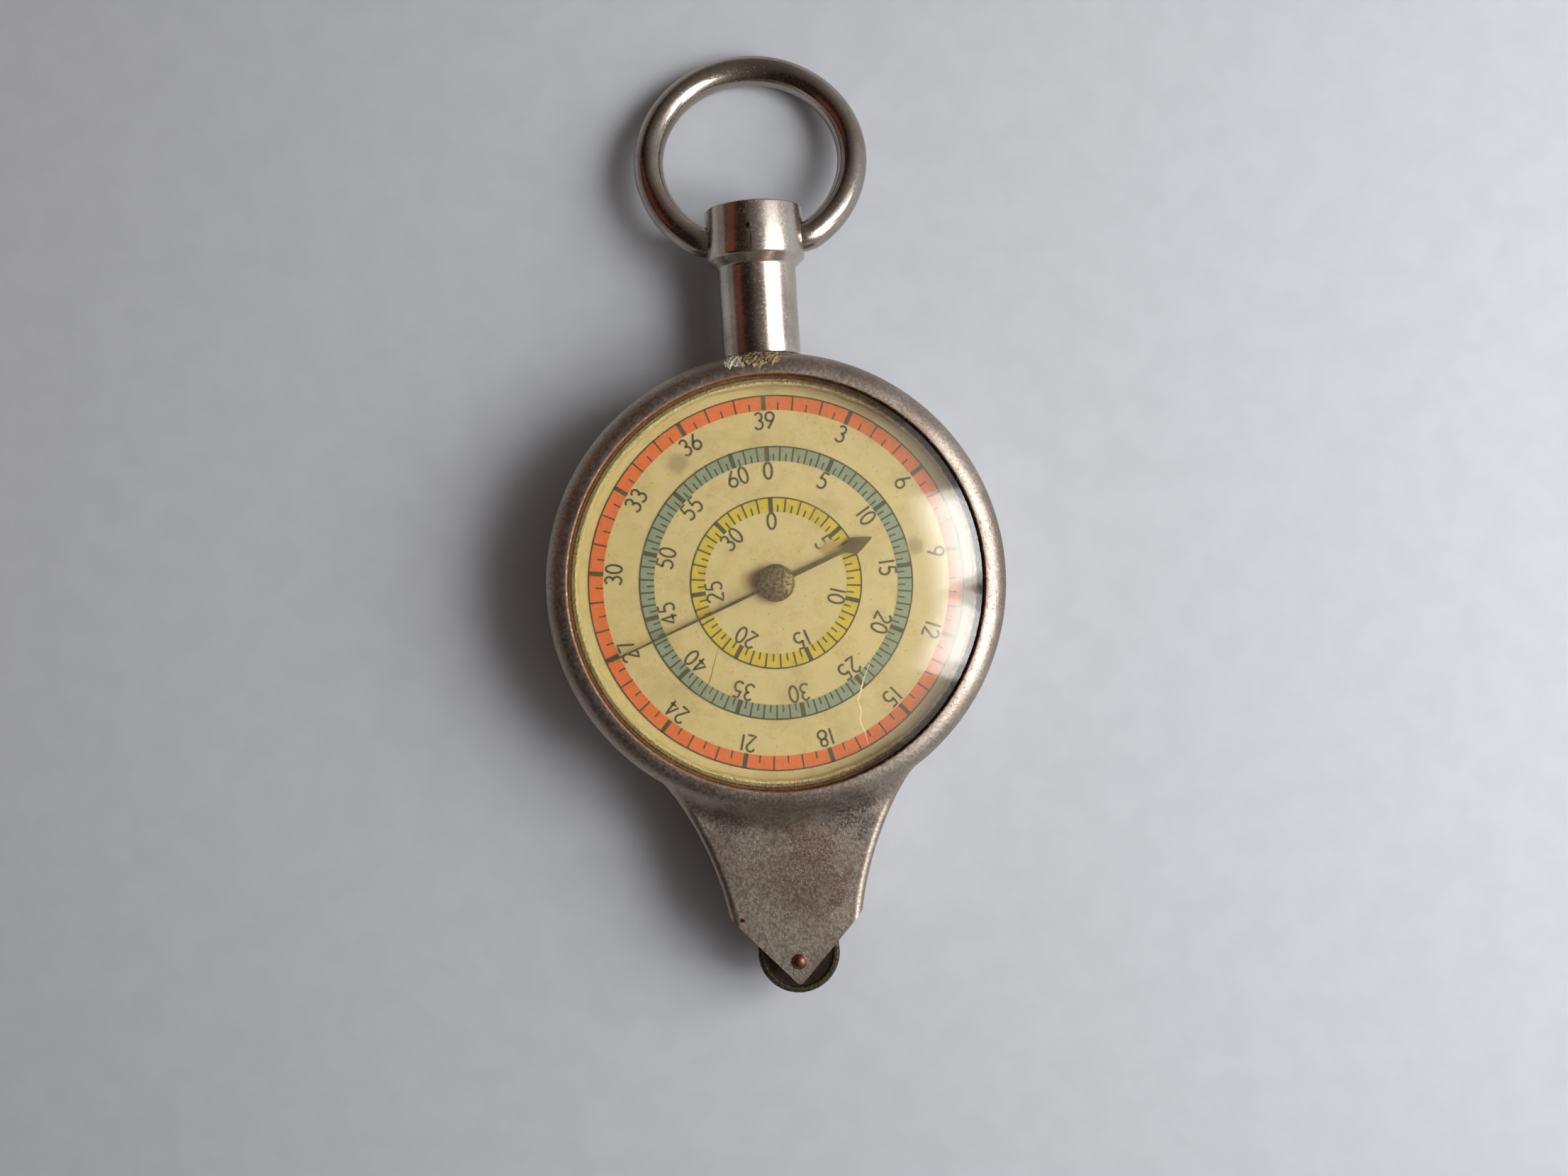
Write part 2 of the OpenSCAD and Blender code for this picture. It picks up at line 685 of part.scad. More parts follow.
// Solder in the gap between the stem's flat end and the round case.
module stem_solder() {
    color("#b9ad83") difference() {
        translate([0, case_r - stem_r / 4, mid_z]) rotate([-90, 0, 0])
            cylinder(r = stem_r - free_gap, h = stem_r / 4 + solder_t);
        translate([0, 0, mid_z - 2 * stem_r]) cylinder(r = case_r, h = 4 * stem_r, $fn = 200);
        translate([0, 0, mid_z]) rotate([-90, 0, 0])
            cylinder(r = tenon_r + seat_gap, h = 2 * case_r);
    }
}

// Wire ring with both ends bent into the head's sockets, where it swings.
module ring() {
    end_angle = acos(ring_rise / ring_r);
    stub = bend_x - head_r + socket_depth - 2 * ring_gap;
    color("#84796a") translate([0, ring_y, mid_z]) rotate([-ring_tilt, 0, 0]) {
        translate([0, ring_rise, 0]) rotate([0, 0, end_angle - 90])
            rotate_extrude(angle = 360 - 2 * end_angle) translate([ring_r, 0]) circle(r = wire_r);
        for (side = [-1, 1]) translate([side * bend_x, 0, 0]) {
            sphere(r = wire_r + seat_gap);
            rotate([0, -side * 90, 0]) cylinder(r = wire_r, h = stub);
        }
    }
}

case_front();
case_back();
crystal();
crystal_cement();
tension_ring();
dial_plate();
dial_card();
dial_scales();
dial_feet();
hand();
hand_hub();
centre_arbor();
centre_gear();
second_arbor();
second_gear();
first_arbor();
first_gear();
wheel_pinion();
tracing_wheel();
wheel_axle();
axle_spacers();
movement_plate_front();
movement_plate_back();
pillars();
standoffs();
movement_screws();
stem();
stem_nut();
stem_solder();
ring();
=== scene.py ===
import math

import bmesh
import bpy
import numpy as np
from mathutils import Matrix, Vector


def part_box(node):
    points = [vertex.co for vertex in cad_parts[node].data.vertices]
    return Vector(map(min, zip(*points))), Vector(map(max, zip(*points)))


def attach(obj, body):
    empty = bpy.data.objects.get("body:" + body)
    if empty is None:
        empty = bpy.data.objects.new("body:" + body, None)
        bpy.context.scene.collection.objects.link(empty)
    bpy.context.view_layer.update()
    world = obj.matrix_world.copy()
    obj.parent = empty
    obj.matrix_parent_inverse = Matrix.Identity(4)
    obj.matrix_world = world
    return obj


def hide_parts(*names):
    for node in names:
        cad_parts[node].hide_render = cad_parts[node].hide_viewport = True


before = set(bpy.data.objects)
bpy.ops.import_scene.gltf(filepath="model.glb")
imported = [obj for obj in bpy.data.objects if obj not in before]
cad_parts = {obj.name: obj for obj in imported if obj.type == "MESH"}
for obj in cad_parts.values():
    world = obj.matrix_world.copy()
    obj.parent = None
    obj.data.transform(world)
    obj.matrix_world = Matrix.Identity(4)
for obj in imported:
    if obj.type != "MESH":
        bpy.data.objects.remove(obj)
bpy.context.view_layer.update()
# %% [markdown]
# # An old map measurer, dressed for its portrait
# The tool is an opisometer: a small wheel is run along a road on a map, and gears turn one long
# hand over a dial of miles and kilometres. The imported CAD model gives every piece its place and
# size. This lesson adds what the eye reads on the real tool: worn nickel plating on pressed
# brass, a domed and yellowed crystal, a printed card, cracked old solder and a bronze wheel.
# All lengths below are written in millimetres and turned to Blender's metres in one place.

MM = 0.001
scene = bpy.context.scene


def box_mm(node):
    """Lowest and highest corner of a CAD node, in millimetres."""
    low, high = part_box(node)
    return np.array(low) / MM, np.array(high) / MM


# %% [markdown]
# ## The camera
# The tool was photographed lying on its back, from straight above and from close by, about
# 125 mm over the table. From so close the near parts look larger than the far ones, so the
# camera is a perspective one at that real distance. The tool lay a few degrees askew, and the
# camera is turned by the same angle, so the tool itself stays square in its own frame.

# %% Camera
PHOTO_W, FOCAL_PX = 2212, 2185
SENSOR = 36.0
CAMERA_AT = (0.58, -0.42, 125.0)
CAMERA_TURN = -3.55

camera_data = bpy.data.cameras.new("camera")
camera_data.sensor_width = SENSOR
camera_data.lens = FOCAL_PX / PHOTO_W * SENSOR
camera_data.clip_start = 1 * MM
camera = bpy.data.objects.new("camera", camera_data)
camera.location = Vector(CAMERA_AT) * MM
camera.rotation_euler = (0, 0, math.radians(CAMERA_TURN))
scene.collection.objects.link(camera)
scene.camera = camera
print(f"lens {camera_data.lens:.2f} mm at {CAMERA_AT[2]:.0f} mm")

# %% [markdown]
# ## Turning numbers into pieces
# Nearly every piece here is made in one of three ways: turned on a lathe (a profile swept
# round an axis), drawn along a line (ink, blade, wire), or laid out as a grid (pressed sheet,
# solder). Points are worked out in millimetres with formulas. One function makes the Blender
# mesh, smooths its faces, keeps the true creases sharp, and says which CAD body it moves with
# and which nodes it stands for.

# %% Meshes from points in millimetres
def mesh_of(name, points, faces):
    """A mesh whose faces all turn the same way, which is outward where it is closed."""
    mesh = bpy.data.meshes.new(name)
    mesh.from_pydata((np.asarray(points, float) * MM).tolist(), [], faces)
    shape = bmesh.new()
    shape.from_mesh(mesh)
    bmesh.ops.recalc_face_normals(shape, faces=shape.faces)
    shape.to_mesh(mesh)
    shape.free()
    return mesh


def smooth(mesh, crease):
    """Smooths the faces, and keeps the edges that bend by more than `crease` degrees."""
    mesh.shade_smooth()
    mesh.set_sharp_from_angle(angle=math.radians(crease))


# %% One function that makes a piece
CREASE = 35
pieces_made = []


def piece(name, shape, finish, body, stands_for=(), crease=CREASE):
    """Makes a mesh piece. With a list of finishes, each face comes with the number of its own."""
    points, faces = shape
    several = isinstance(finish, list)
    mesh = mesh_of(name, points, [f[0] for f in faces] if several else faces)
    if several:
        mesh.polygons.foreach_set("material_index", [f[1] for f in faces])
    for one in finish if several else [finish]:
        mesh.materials.append(one)
    smooth(mesh, crease)
    made = bpy.data.objects.new(name, mesh)
    scene.collection.objects.link(made)
    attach(made, body)
    if stands_for:
        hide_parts(*stands_for)
    pieces_made.append(name)
    print(f"{name}: {len(mesh.vertices)} points, rides on {body}")
    return made


def settle(made, crease=CREASE):
    """Bakes a piece's modifiers into its mesh and sharpens its creases again."""
    graph = bpy.context.evaluated_depsgraph_get()
    made.data = bpy.data.meshes.new_from_object(made.evaluated_get(graph))
    made.modifiers.clear()
    smooth(made.data, crease)


# %% Rounding the corners of a profile
CORNER_STEPS = 4


def eased(profile, cut, closed=False):
    """Rounds each corner of a profile, cutting back up to `cut` mm on both sides of it."""
    points = [np.array(p, float) for p in profile]
    count = len(points)
    out = []
    for i, p in enumerate(points):
        if not closed and i in (0, count - 1):
            out.append(p)
            continue
        before, after = points[i - 1] - p, points[(i + 1) % count] - p
        back, on = np.linalg.norm(before), np.linalg.norm(after)
        a = p + before / back * min(cut, 0.45 * back)
        b = p + after / on * min(cut, 0.45 * on)
        for t in np.linspace(0, 1, CORNER_STEPS + 1):
            out.append((1 - t) ** 2 * a + 2 * t * (1 - t) * p + t * t * b)
    return out


# %% Turning a profile on a lathe
def turned(profile, steps, closed=False, axis="Z", centre=(0, 0, 0), first=0):
    """Points and faces of an (r, h) profile swept round an axis; first shifts the numbering."""
    points, rings = [], []
    for r, h in profile:
        start = len(points) + first
        count = 1 if r < 1e-6 else steps
        for k in range(count):
            a = 2 * math.pi * k / steps
            x, y = r * math.cos(a), r * math.sin(a)
            p = (x, y, h) if axis == "Z" else (x, h, y)
            points.append(np.array(p) + centre)
        rings.append((start, count))
    faces = []
    for i in range(len(rings) if closed else len(rings) - 1):
        (a, na), (b, nb) = rings[i], rings[(i + 1) % len(rings)]
        for k in range(steps):
            n = (k + 1) % steps
            face = [a + k % na, a + n % na, b + n % nb, b + k % nb]
            corners = list(dict.fromkeys(face))
            if len(corners) > 2:
                faces.append(corners)
    return points, faces


# %% Flat ribbons: for ink, and for the hand's blade
def ribbon(line, half_width, low, high, closed=False, first=0):
    """A thin strip with square edges along a line in plan. Its sizes may change along it."""
    line = np.asarray(line, float)
    count = len(line)
    width, low, high = (np.broadcast_to(np.asarray(v, float), count)
                        for v in (half_width, low, high))
    if closed:
        run = np.roll(line, -1, 0) - np.roll(line, 1, 0)
    else:
        run = np.gradient(line, axis=0)
    run /= np.linalg.norm(run, axis=1)[:, None]
    side = np.stack([-run[:, 1], run[:, 0]], 1) * width[:, None]
    points = []
    for p, s, bottom, top in zip(line, side, low, high):
        for edge, z in ((p + s, top), (p - s, top), (p - s, bottom), (p + s, bottom)):
            points.append((edge[0], edge[1], z))
    faces = []
    for i in range(count if closed else count - 1):
        a, b = 4 * i + first, 4 * ((i + 1) % count) + first
        faces += [[a + k, a + (k + 1) % 4, b + (k + 1) % 4, b + k] for k in range(4)]
    if not closed:
        end = 4 * (count - 1) + first
        faces += [[first + 3, first + 2, first + 1, first], [end, end + 1, end + 2, end + 3]]
    return points, faces


# %% Sheets: faces between the points of a grid
def quads(rows, across, wrap=False):
    """Faces between neighbouring points of a grid, whose rows may close into a ring."""
    faces = []
    for i in range(rows if wrap else rows - 1):
        a, b = i * across, (i + 1) % rows * across
        faces += [[a + k, b + k, b + k + 1, a + k + 1] for k in range(across - 1)]
    return faces


# %% [markdown]
# ## Colour and pattern
# Colours are written as the hex values that a colour picker shows and turned to the linear
# numbers that Blender mixes. One small function adds a shader node: each setting is either a
# property, a socket's value, or another node's output to link. Pattern scales come from real
# millimetres, because object coordinates here are metres in the tool's own frame.

# %% Colours, nodes and pattern scales
SOFT = {"interpolation_type": "SMOOTHSTEP"}


def linear(hex_code):
    """sRGB hex to a linear colour with alpha."""
    parts = [int(hex_code[i:i + 2], 16) / 255 for i in (1, 3, 5)]
    return [c / 12.92 if c <= 0.04045 else ((c + 0.055) / 1.055) ** 2.4 for c in parts] + [1.0]


def per_mm(size):
    """Texture scale whose features are about `size` millimetres wide."""
    return 1 / (size * MM)


def fill(tree, node, settings):
    """Sets a node up. Keys are properties, socket names or socket numbers."""
    for key, value in settings.items():
        if isinstance(key, str) and not key[0].isupper():
            setattr(node, key, value)
        elif isinstance(value, bpy.types.NodeSocket):
            tree.links.new(value, node.inputs[key])
        else:
            node.inputs[key].default_value = value


def add(tree, kind, settings, output=0):
    """Adds one shader node, and gives back one of its outputs by name or number."""
    node = tree.nodes.new("ShaderNode" + kind)
    fill(tree, node, settings)
    return node.outputs[output]


def new_finish(name):
    """A new material, its nodes, and the place on the piece in the piece's own frame."""
    material = bpy.data.materials.new(name)
    material.use_nodes = True
    print("finish:", name)
    return material, material.node_tree, add(material.node_tree, "TexCoord", {}, "Object")


def dress(material, settings):
    """Gives a material's Principled shader its settings."""
    fill(material.node_tree, material.node_tree.nodes["Principled BSDF"], settings)
    return material


# %% Joining patterns, and laying colours over one another
def overlap(tree, *patterns):
    """Where all the patterns are at once."""
    both = patterns[0]
    for pattern in patterns[1:]:
        both = add(tree, "Math", {"operation": "MULTIPLY", 0: both, 1: pattern})
    return both


def weighed(tree, base, *pairs):
    """A base value, plus each pattern times its weight."""
    for pattern, weight in pairs:
        base = add(tree, "Math", {"operation": "MULTIPLY_ADD", 0: pattern, 1: weight, 2: base})
    return base


def coat(tree, under, over, where, strength=1.0):
    """Lays a colour over another where a pattern is. Each is a hex code or a node's output."""
    share = overlap(tree, where, strength) if strength < 1 else where
    pair = [linear(c) if isinstance(c, str) else c for c in (under, over)]
    return add(tree, "Mix", {"data_type": "RGBA", 0: share, 6: pair[0], 7: pair[1]}, 2)


# %% Patterns, from 0 to 1, which every finish below is mixed from
def patches(tree, place, size, low, high, detail=4.0):
    """Cloudy patches about `size` mm wide, as 0 to 1 between two levels of the noise."""
    cloud = add(tree, "TexNoise", {"Vector": place, "Scale": per_mm(size), "Detail": detail,
                                   "Roughness": 0.55})
    return add(tree, "MapRange", SOFT | {0: cloud, 1: low, 2: high})


def along(tree, place, axis, start, stop):
    """Goes from 0 at `start` mm to 1 at `stop` mm along one axis."""
    at = add(tree, "SeparateXYZ", {"Vector": place}, axis)
    return add(tree, "MapRange", SOFT | {0: at, 1: start * MM, 2: stop * MM})


def from_middle(tree, place, start, stop):
    """Goes from 0 at `start` mm to 1 at `stop` mm away from the dial's axis."""
    in_plan = add(tree, "Mapping", {"Vector": place, "Scale": (1.0, 1.0, 0.0)})
    away = add(tree, "VectorMath", {"operation": "LENGTH", 0: in_plan}, "Value")
    return add(tree, "MapRange", SOFT | {0: away, 1: start * MM, 2: stop * MM})


def spot(tree, place, centre, reach, ragged, grain=1.2):
    """A ragged patch round one point in mm, for stains and painted shadows: 1 at its middle, 0 past
    its reach.
    """
    wander = add(tree, "TexNoise", {"Vector": place, "Scale": per_mm(grain), "Detail": 4.0})
    off = add(tree, "VectorMath", {"operation": "SUBTRACT", 0: place,
                                   1: [c * MM for c in centre]})
    scaled = add(tree, "VectorMath", {"operation": "DIVIDE", 0: off, 1: [r * MM for r in reach]})
    far = add(tree, "VectorMath", {"operation": "LENGTH", 0: scaled}, "Value")
    edge = weighed(tree, far, (wander, 2 * ragged))
    return add(tree, "MapRange", SOFT | {0: edge, 1: 1.0 + ragged, 2: 0.35 + ragged})


# %% [markdown]
# ## Nickel-plated brass
# The case is sheet brass, pressed to shape and nickel plated. Decades of handling have worn
# the shine to a fine grey-brown haze: a metal with middling roughness, tiny dark pits, cloudy
# brown tarnish and a few named stains. Wear is drawn where the real tool has it. The bezel's
# right side and its lip are also darkened as painted shade. The stem and the ring carry the same
# plating on smoother metal, so they mirror the window more sharply.

# %% Worn nickel for the case, the stem and the ring
CASE_R = box_mm("case_front")[1][0]
OPENING_R = CASE_R - 1.8
LIP_Z = 9.2


def plated_nickel(name, warm, grey, rough, pits, bumps, stains_and_shade=(), corroded_and_shaded_lip=False):
    """Worn nickel plating: cloudy tarnish over a fine haze with dark pits, and an optional rusty
    lip that darkens toward the right as painted shade.
    """
    material, tree, place = new_finish(name)
    # The real haze is finer than 0.1 mm. It is drawn at 0.24 mm, so that it still shows.
    # Clouds of tarnish are about 5 mm across, and the pits in the plating about 0.15 mm.
    haze = patches(tree, place, 0.24, 0.3, 0.7, 3.0)
    clouds = patches(tree, place, 5.0, 0.42, 0.7, 6.0)
    speck = patches(tree, place, 0.15, 0.60, 0.70, 2.0)
    colour = coat(tree, warm, grey, haze)
    colour = coat(tree, colour, "#7C6658", clouds, 0.5)
    colour = coat(tree, colour, "#3E342C", speck, pits)
    for centre, reach, tint, ragged, pitted in stains_and_shade:
        share = spot(tree, place, centre, reach, ragged)
        if pitted:
            dots = patches(tree, place, 0.16, 0.40, 0.62, 3.0)
            share = overlap(tree, share, weighed(tree, 0.2, (dots, 0.5)))
        colour = coat(tree, colour, tint, share)
    dull = weighed(tree, rough, (haze, 0.08), (speck, 0.2))
    if corroded_and_shaded_lip:
        near = overlap(tree, from_middle(tree, place, OPENING_R + 0.22, OPENING_R + 0.06),
                       along(tree, place, "Z", LIP_Z, LIP_Z + 0.3))
        # The crust is real rust, but it thickens and darkens toward the right: painted shade on the
        # lip.
        right = weighed(tree, 0.8, (along(tree, place, "X", -6.0, 9.0), 0.2))
        crust = overlap(tree, near, right, patches(tree, place, 0.3, 0.22, 0.50))
        rust = coat(tree, "#8E5A34", "#54342A", along(tree, place, "X", -4.0, 9.0))
        colour = coat(tree, colour, rust, crust)
        dull = weighed(tree, dull, (crust, 0.3))
    bump = add(tree, "Bump", {"Height": weighed(tree, haze, (speck, -1.0)),
                              "Distance": bumps * MM, "Strength": 0.8})
    return dress(material, {"Metallic": 1.0, "Base Color": colour, "Roughness": dull,
                            "Normal": bump})


# Each stain or painted shade: its middle, its reach along X, Y and Z, its colour, how ragged, and
# if it is pitted.
CASE_STAINS_AND_SHADE = [
    ((4.7, -17.6, 8.5), (2.6, 2.6, 3.0), "#2A2420", 0.9, True),
    ((-4.1, -25.2, 8.5), (0.30, 0.22, 2.0), "#5A2418", 0.3, False),
    ((1.4, -20.2, 8.5), (2.6, 3.0, 3.0), "#8C6450", 0.9, True),
    ((3.2, -23.0, 8.5), (1.6, 1.8, 3.0), "#86604E", 0.9, True),
    ((-4.6, -17.6, 8.5), (1.6, 2.4, 3.0), "#6A6056", 0.9, True),
    ((0.4, -22.2, 8.5), (4.2, 4.6, 3.0), "#7A6A5C", 0.9, True),
    # Painted shade: a pitted grey-brown patch on the bezel's right side dims the window's highlight
    # there.
    ((16.4, 0.5, 9.0), (2.4, 9.0, 4.0), "#786A5E", 0.9, True),
]
STEM_STAINS = [
    ((-0.45, 26.95, 8.8), (0.26, 0.36, 1.0), "#4A443C", 0.35, False),
    ((-0.30, 25.90, 8.8), (0.07, 0.90, 1.0), "#6B6258", 0.50, False),
    ((0.90, 20.60, 8.0), (0.30, 0.80, 1.0), "#97897A", 0.90, False),
]
# The case gleams softly, grey and brown in patches. The stem is smooth enough to mirror the
# window as a bright stripe, and the ring, the smoothest, has thin sharp lights along the wire.
case_nickel = plated_nickel("worn_nickel_plate", "#A29386", "#B6AA9E", 0.36, 0.50, 0.006,
                            CASE_STAINS_AND_SHADE, corroded_and_shaded_lip=True)
stem_nickel = plated_nickel("turned_nickel", "#C5BAAD", "#CDC3B7", 0.17, 0.12, 0.0006,
                            STEM_STAINS)
ring_nickel = plated_nickel("drawn_nickel_wire", "#AA9F94", "#B2A89D", 0.13, 0.06, 0.0003)

# %% [markdown]
# ## Brass and steel inside
# The gears, plates and posts are sheet and bar brass, cut and left bare, and the arbors and
# screws are turned steel. Nobody sees them under the dial, but each still gets the finish
# that the real piece has: brass golden and slightly brushed, steel cool and a little darker.
# The hand's steel was heated until a black skin formed, so it is the darkest and the dullest.

# %% Cut brass, turned steel, blackened steel
def cut_metal(name, light, dark, rough):
    """Bare metal with fine brushing and faint clouds of tarnish."""
    material, tree, place = new_finish(name)
    # Brush marks are about 0.03 mm wide. They are drawn at 0.12 mm, so that they show.
    drawn_out = add(tree, "Mapping", {"Vector": place, "Scale": (1.0, 0.06, 1.0)})
    brushed = patches(tree, drawn_out, 0.12, 0.3, 0.7, 2.0)
    clouds = patches(tree, place, 2.5, 0.4, 0.7)
    bump = add(tree, "Bump", {"Height": brushed, "Distance": 0.004 * MM, "Strength": 1.0})
    return dress(material, {"Metallic": 1.0, "Base Color": coat(tree, light, dark, clouds, 0.6),
                            "Roughness": weighed(tree, rough, (brushed, 0.12)), "Normal": bump})


# Brass is golden with a soft shine, steel a cool grey, and blackened steel a dull dark brown.
brass = cut_metal("cut_brass", "#D9B56B", "#A98544", 0.26)
steel = cut_metal("turned_steel", "#A7A9AA", "#86837E", 0.25)
black_steel = cut_metal("blackened_steel", "#6E6148", "#52452F", 0.42)

# %% [markdown]
# ## The printed card
# The dial is card printed in four inks and varnished. Age has turned it cream, with faint
# brown foxing and tiny dark specks, and a painted shadow lies left of the hub. Card is no metal:
# it is rough, with a slight varnish sheen.

# %% Card and inks
DIAL_STAINS_AND_SHADOW = [
    # The first entry, the brown patch left of the hub, is the hub's painted shadow; the others are
    # stains.
    ((-1.5, 0.3, 7.4), (1.5, 1.2, 3.0), "#9A7443"),
    ((4.2, 2.4, 7.4), (1.1, 0.8, 3.0), "#B39A66"),
    ((-6.9, 9.4, 7.4), (1.3, 1.0, 3.0), "#A3987A"),
    ((10.6, 2.2, 7.4), (0.9, 0.9, 3.0), "#A3987A"),
]


def printed(name, colour, aged, mottled):
    """Card or ink with foxing, specks, stains and the hub's painted shadow, in the same look all
    over the dial.
    """
    material, tree, place = new_finish(name)
    foxing = patches(tree, place, 1.6, 0.42, 0.75, 5.0)
    base = coat(tree, colour, aged, foxing, 0.55)
    # Card fibres are about 0.02 mm wide. They are drawn at 0.16 mm, so that they show.
    base = coat(tree, base, mottled, patches(tree, place, 0.16, 0.35, 0.65, 2.0), 0.4)
    base = coat(tree, base, "#8D8468", patches(tree, place, 4.5, 0.52, 0.80, 3.0), 0.35)
    for centre, reach, tint in DIAL_STAINS_AND_SHADOW:
        base = coat(tree, base, tint, spot(tree, place, centre, reach, 0.45))
    base = coat(tree, base, "#5B4A30", patches(tree, place, 0.20, 0.66, 0.72, 2.0), 0.6)
    bump = add(tree, "Bump", {"Height": foxing, "Distance": 0.01 * MM, "Strength": 0.5})
    return dress(material, {"Base Color": base, "Roughness": 0.55, "Normal": bump})


# The card is a matt cream ground. Ink soaks into it, so the bands differ in colour only.
aged_card = printed("aged_card", "#C9BB94", "#B2A06F", "#D3C6A0")
red_ink = printed("red_ink", "#D4642C", "#C05628", "#EA8048")
blue_ink = printed("blue_ink", "#7F9188", "#6C7E71", "#95A496")
yellow_ink = printed("yellow_ink", "#C6B230", "#AD9828", "#D8C44C")
black_ink = printed("black_ink", "#3A3828", "#2E2B1F", "#4C4938")

# %% [markdown]
# ## Aged cement and old solder
# The cement that holds the crystal has gone brown and speckled. The solder under the stem is
# old and cracked like dried resin. Both are fillers that set in lumps: a mottled colour, with
# dark cracks between cells that look like grains.

# %% Cement and solder
def lumpy(tree, place, light, dark, crack, size):
    """Colour and bumps of a crusty, mottled filler with dark cracks between its grains."""
    clouds = patches(tree, place, size, 0.35, 0.65, 6.0)
    cells = add(tree, "TexVoronoi", {"feature": "DISTANCE_TO_EDGE", "Vector": place,
                                     "Scale": per_mm(2 * size)})
    gap = add(tree, "MapRange", {0: cells, 1: 0.02, 2: 0.10, 3: 1.0, 4: 0.0})
    gap = overlap(tree, gap, patches(tree, place, 3 * size, 0.4, 0.55))
    bump = add(tree, "Bump", {"Height": weighed(tree, clouds, (gap, -1.0)),
                              "Distance": 0.05 * MM, "Strength": 1.0})
    return coat(tree, coat(tree, light, dark, clouds), crack, gap), bump


def browned_cement(name):
    """Amber cement with painted light: a pale glow on the left, and painted shade on the right."""
    material, tree, place = new_finish(name)
    colour, bump = lumpy(tree, place, "#B08A52", "#CDB684", "#6E4420", 0.22)
    # Painted shade: the cement is darker and speckled toward the right, where the bezel shades it.
    painted_shade_right = overlap(tree, along(tree, place, "X", -3.0, 10.0),
                        patches(tree, place, 0.5, 0.25, 0.5, 5.0))
    colour = coat(tree, colour, "#5E4624", painted_shade_right, 0.8)
    # Painted light: a pale cream glow along the inner edge on the left, where light comes through
    # the crystal's edge.
    inner = overlap(tree, from_middle(tree, place, OPENING_R - 0.15, OPENING_R - 0.35),
                    along(tree, place, "X", 9.0, -2.0))
    colour = coat(tree, colour, "#D8CFA6", inner, 0.85)
    rust = overlap(tree, from_middle(tree, place, OPENING_R - 0.40, OPENING_R - 0.25),
                   patches(tree, place, 0.5, 0.22, 0.42))
    colour = coat(tree, colour, "#8A4E26", rust)
    return dress(material, {"Base Color": colour, "Roughness": 0.5, "Normal": bump})


def cracked_solder(name):
    """Dull grey solder under an amber crust, whitish on the left and dark on the right."""
    material, tree, place = new_finish(name)
    colour, bump = lumpy(tree, place, "#AC9568", "#7C6646", "#14100C", 0.26)
    white = spot(tree, place, (-2.3, 16.5, 9.0), (1.2, 0.8, 2.0), 0.7, 0.5)
    colour = coat(tree, colour, "#CFC9B6", white)
    black = spot(tree, place, (2.2, 16.9, 9.0), (0.9, 0.7, 2.0), 0.7, 0.5)
    colour = coat(tree, colour, "#241E1A", black)
    return dress(material, {"Base Color": colour, "Roughness": 0.38, "Normal": bump})


# Cement reads as a rim of amber crumbs, and solder as dull lumps parted by black cracks.
old_cement = browned_cement("brown_cement")
old_solder = cracked_solder("cracked_solder")

# %% [markdown]
# ## Bronze, rivet and hub
# The wheel is bronze with a dark brown patina, its rim band painted paler as a highlight. Its
# rivet is plain brass, and the hub of the hand is nickel dulled to a brown-grey speckle. All are
# metals under a skin of age, so one function makes them, with more or less metal showing through.

# %% Bronze wheel, brass rivet, hub
def patinated(name, light, dark, rough, metal, grain=0.5):
    """Metal under a brown skin of age: darker and duller where the skin is thick."""
    material, tree, place = new_finish(name)
    skin = patches(tree, place, grain, 0.35, 0.65, 6.0)
    bump = add(tree, "Bump", {"Height": skin, "Distance": 0.008 * MM, "Strength": 1.0})
    return dress(material, {"Metallic": metal, "Base Color": coat(tree, light, dark, skin),
                            "Roughness": weighed(tree, rough, (skin, 0.15)), "Normal": bump})


# The wheel is nearly black, its rim a little paler as a painted highlight, the rivet a small
# reddish light, and the hub a dull speckled knob in the middle of the dial.
bronze = patinated("brown_bronze", "#3E3226", "#261E16", 0.34, 0.75)
bronze_rim_highlight = patinated("bronze_rim_painted_highlight", "#5E543E", "#332C22", 0.34, 0.8, 0.25)
rivet_brass = patinated("rivet_brass", "#A07C60", "#6E4C38", 0.26, 1.0)
hub_metal = patinated("dulled_hub", "#857350", "#3A3024", 0.40, 0.55, 0.22)

# %% [markdown]
# ## Old celluloid over the dial
# The crystal is a thin dome of early plastic that has yellowed. It bends light a little less
# than window glass (index about 1.49) and carries fine scratches, seen only where the window
# is mirrored in it. Light that only passes through on its way to the dial is let straight in,
# so the card below stays bright instead of speckled with noise.

